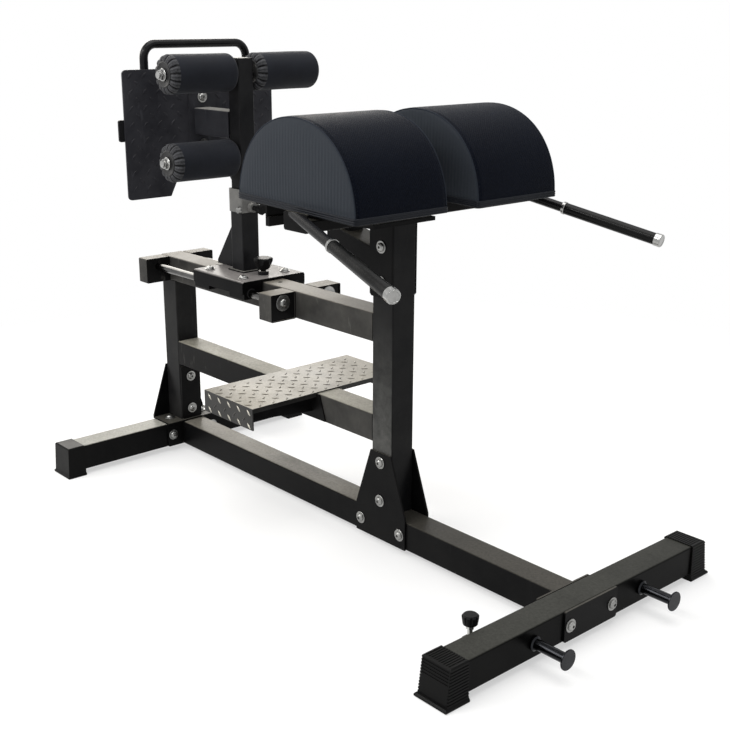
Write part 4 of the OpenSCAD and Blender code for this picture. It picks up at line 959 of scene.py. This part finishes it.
# Parts of the foot plate without lozenges
BRACKET_HALF, BRACKET_Z = 0.054, (0.944, 1.134)
NOTCH_HALF, NOTCH_H = 0.128, 0.078
LENS = ((1.0, 0.0), (0.62, 0.62), (0.0, 1.0), (-0.62, 0.62),
        (-1.0, 0.0), (-0.62, -0.62), (0.0, -1.0), (0.62, -0.62))
LENS_ROWS = ((1.0, -0.0002), (0.80, 0.62 * LOZENGE_H), (0.45, LOZENGE_H))    # (scale, lift)


def lozenge(c, along, across, up):
    """One raised lens of a tread plate: pointed ends and a rounded back."""
    verts = [c + along * LOZENGE_L * scale * t + across * LOZENGE_W * scale * w + up * lift
             for scale, lift in LENS_ROWS for t, w in LENS]
    rows, n = len(LENS_ROWS), len(LENS)
    return verts, ring_faces(rows, n) + end_faces(rows, n)


def tread(origin, right, up, normal, size, start, keep_out=None, leans=(0, 1),
          margin=EDGE_MARGIN):
    """Lozenges on a plate, each second one turned; start is the middle of one that leans right.
    leans says which of the two sets is made, margin how near the plate's edges they come."""
    o, r, u, n = (Vector(v) for v in (origin, right, up, normal))
    lean = ((r + u).normalized(), (r - u).normalized())
    forms = []
    for i in range(-REACH, REACH + 1):
        for j in range(-REACH, REACH + 1):
            cx, cy = start[0] + i * HALF, start[1] + j * HALF
            outside = min(cx, cy, size[0] - cx, size[1] - cy) < margin
            if (i + j) % 2 or i % 2 not in leans or outside:
                continue
            if keep_out and keep_out(cx, cy):
                continue
            forms.append(lozenge(o + r * cx + u * cy, lean[i % 2], lean[1 - i % 2], n))
    return join_forms(forms)


def on_foot_plate(cx, cy):
    """True where the post bracket or the notch is."""
    y, z = plate_lo.y + cx, plate_lo.z + cy
    if abs(y) < BRACKET_HALF and BRACKET_Z[0] < z < BRACKET_Z[1]:
        return True
    return cy < NOTCH_H and abs(y) < NOTCH_HALF


lo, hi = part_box("step_plate")
plate_lo, plate_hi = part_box("foot_plate")
RIGHT, ACROSS, UP = (1, 0, 0), (0, 1, 0), (0, 0, 1)
dull = [tread((lo.x, lo.y, hi.z), RIGHT, ACROSS, UP, (hi.x - lo.x, hi.y - lo.y),
              (STEP_START[0] + HALF - lo.x, STEP_START[1] + HALF - lo.y))]
# painted glint: on the end flanges only lozenges that lean one way get the bright metal, the others
# the step's finish
painted_glint = []
for y, out in ((lo.y, -1), (hi.y, 1)):
    face = ((lo.x, y, lo.z), RIGHT, UP, (0, out, 0), (hi.x - lo.x, hi.z - lo.z))
    start = (FLANGE_START[0] + HALF - lo.x, FLANGE_START[1] - HALF - lo.z)
    dull.append(tread(*face, start, leans=(0,)))
    painted_glint.append(tread(*face, start, leans=(1,)))
    low_start = (FLANGE_START[0] - HALF - lo.x, LOW_ROW - HALF)
    painted_glint.append(tread(*face, low_start, leans=(1,), margin=LOW_ROW - 0.0001))
foot = [tread((plate_hi.x, plate_lo.y, plate_lo.z), ACROSS, UP, RIGHT,
              (plate_hi.y - plate_lo.y, plate_hi.z - plate_lo.z),
              (PLATE_START[0] - plate_lo.y, PLATE_START[1] - plate_lo.z), on_foot_plate)]
for name, forms, finish, body in (("step_treads", dull, "step", "frame"),
                                  ("step_edge_treads", painted_glint, "lozenge", "frame"),
                                  ("foot_treads", foot, "plate", "roller_head")):
    piece = new_piece(name, *join_forms(forms), M[finish])
    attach(piece, body)


# Floor and light
FLOOR_HALF = 60.0
NEAR_FLOOR, FAR_FLOOR = 1.2, 2.6    # the floor's own look ends here, and pure white starts there
NEAR_GLOW = 0.52
FILL_COLOR, FILL_STRENGTH = (0.96, 0.98, 1.0, 1.0), 0.42


def glow(g, strength):
    node = g.add("ShaderNodeEmission")
    node.inputs["Color"].default_value = WHITE
    node.inputs["Strength"].default_value = strength
    return node.outputs[0]


def mixed(g, share, a, b):
    node = g.add("ShaderNodeMixShader")
    g.link(share, node.inputs["Fac"])
    g.link(a, node.inputs[1])
    g.link(b, node.inputs[2])
    return node.outputs[0]


def make_floor():
    """Plain pale floor: lit where the object stands, and pure white further out."""
    corners = [(x * FLOOR_HALF, y * FLOOR_HALF, 0) for x, y in ((-1, -1), (1, -1), (1, 1), (-1, 1))]
    obj = new_piece("studio_floor", corners, [(0, 1, 2, 3)], smooth=False)
    g = Graph("floor_white")
    g.base(g.mix(g.noise(0.6), (0.80, 0.795, 0.785), (0.82, 0.815, 0.805)), 0.9, spec=0.0)
    path = g.add("ShaderNodeLightPath").outputs
    seen = g.math("MAXIMUM", path["Is Camera Ray"], path["Is Glossy Ray"])
    seen = g.math("MAXIMUM", seen, path["Is Transmission Ray"])
    pale = g.add("ShaderNodeBsdfDiffuse")
    pale.inputs["Color"].default_value = (0.50, 0.498, 0.494, 1.0)
    near = g.add("ShaderNodeAddShader")
    g.link(pale.outputs[0], near.inputs[0])
    g.link(glow(g, NEAR_GLOW), near.inputs[1])
    away = g.math("SQRT", g.plus(g.math("POWER", g.axis(0), 2.0),
                                 g.math("POWER", g.axis(1), 2.0)))
    shown = mixed(g, g.ramp(away, 0.0, 1.0, NEAR_FLOOR, FAR_FLOOR), near.outputs[0], glow(g, 1.0))
    both = mixed(g, seen, g.shader.outputs[0], shown)
    g.link(both, g.tree.nodes["Material Output"].inputs["Surface"])
    obj.data.materials.append(g.mat)


def area_light(name, at, aim, size_x, size_y, power, color):
    data = bpy.data.lights.new(name, "AREA")
    data.shape = "RECTANGLE"
    data.size, data.size_y = size_x, size_y
    data.energy = power
    data.color = color
    obj = add_object(name, data)
    obj.location = at
    obj.rotation_euler = (Vector(aim) - Vector(at)).to_track_quat("-Z", "Y").to_euler()


def make_world():
    """White where it is seen or reflected, and a softer fill for the light it gives."""
    world = bpy.data.worlds.new("studio")
    world.use_nodes = True
    bpy.context.scene.world = world
    tree = world.node_tree
    fill = tree.nodes["Background"]
    fill.inputs["Color"].default_value = FILL_COLOR
    fill.inputs["Strength"].default_value = FILL_STRENGTH
    seen = tree.nodes.new("ShaderNodeBackground")
    seen.inputs["Color"].default_value = WHITE
    seen.inputs["Strength"].default_value = 1.0
    path = tree.nodes.new("ShaderNodeLightPath")
    ray = path.outputs["Is Camera Ray"]
    for other in ("Is Glossy Ray", "Is Transmission Ray"):
        either = tree.nodes.new("ShaderNodeMath")
        either.operation = "MAXIMUM"
        tree.links.new(ray, either.inputs[0])
        tree.links.new(path.outputs[other], either.inputs[1])
        ray = either.outputs[0]
    mix = tree.nodes.new("ShaderNodeMixShader")
    tree.links.new(ray, mix.inputs["Fac"])
    tree.links.new(fill.outputs[0], mix.inputs[1])
    tree.links.new(seen.outputs[0], mix.inputs[2])
    tree.links.new(mix.outputs[0], tree.nodes["World Output"].inputs["Surface"])


make_floor()
make_world()
area_light("key_left", (-2.2, -4.2, 3.4), (0, 0, 0.6), 3.0, 2.4, 125, (1.0, 0.985, 0.96))
area_light("wall_rear", (-5.0, 1.2, 2.6), (0, 0.1, 0.5), 5.5, 3.4, 240, (1.0, 0.96, 0.89))
area_light("strip_left", (0.3, -3.3, 3.7), (0, 0, 0.8), 3.2, 0.28, 55, (1.0, 0.995, 0.985))
area_light("top_soft", (0.2, 0.2, 4.6), (0, 0, 0), 3.5, 3.5, 120, (1.0, 0.99, 0.975))

bpy.context.scene.view_settings.view_transform = "Standard"
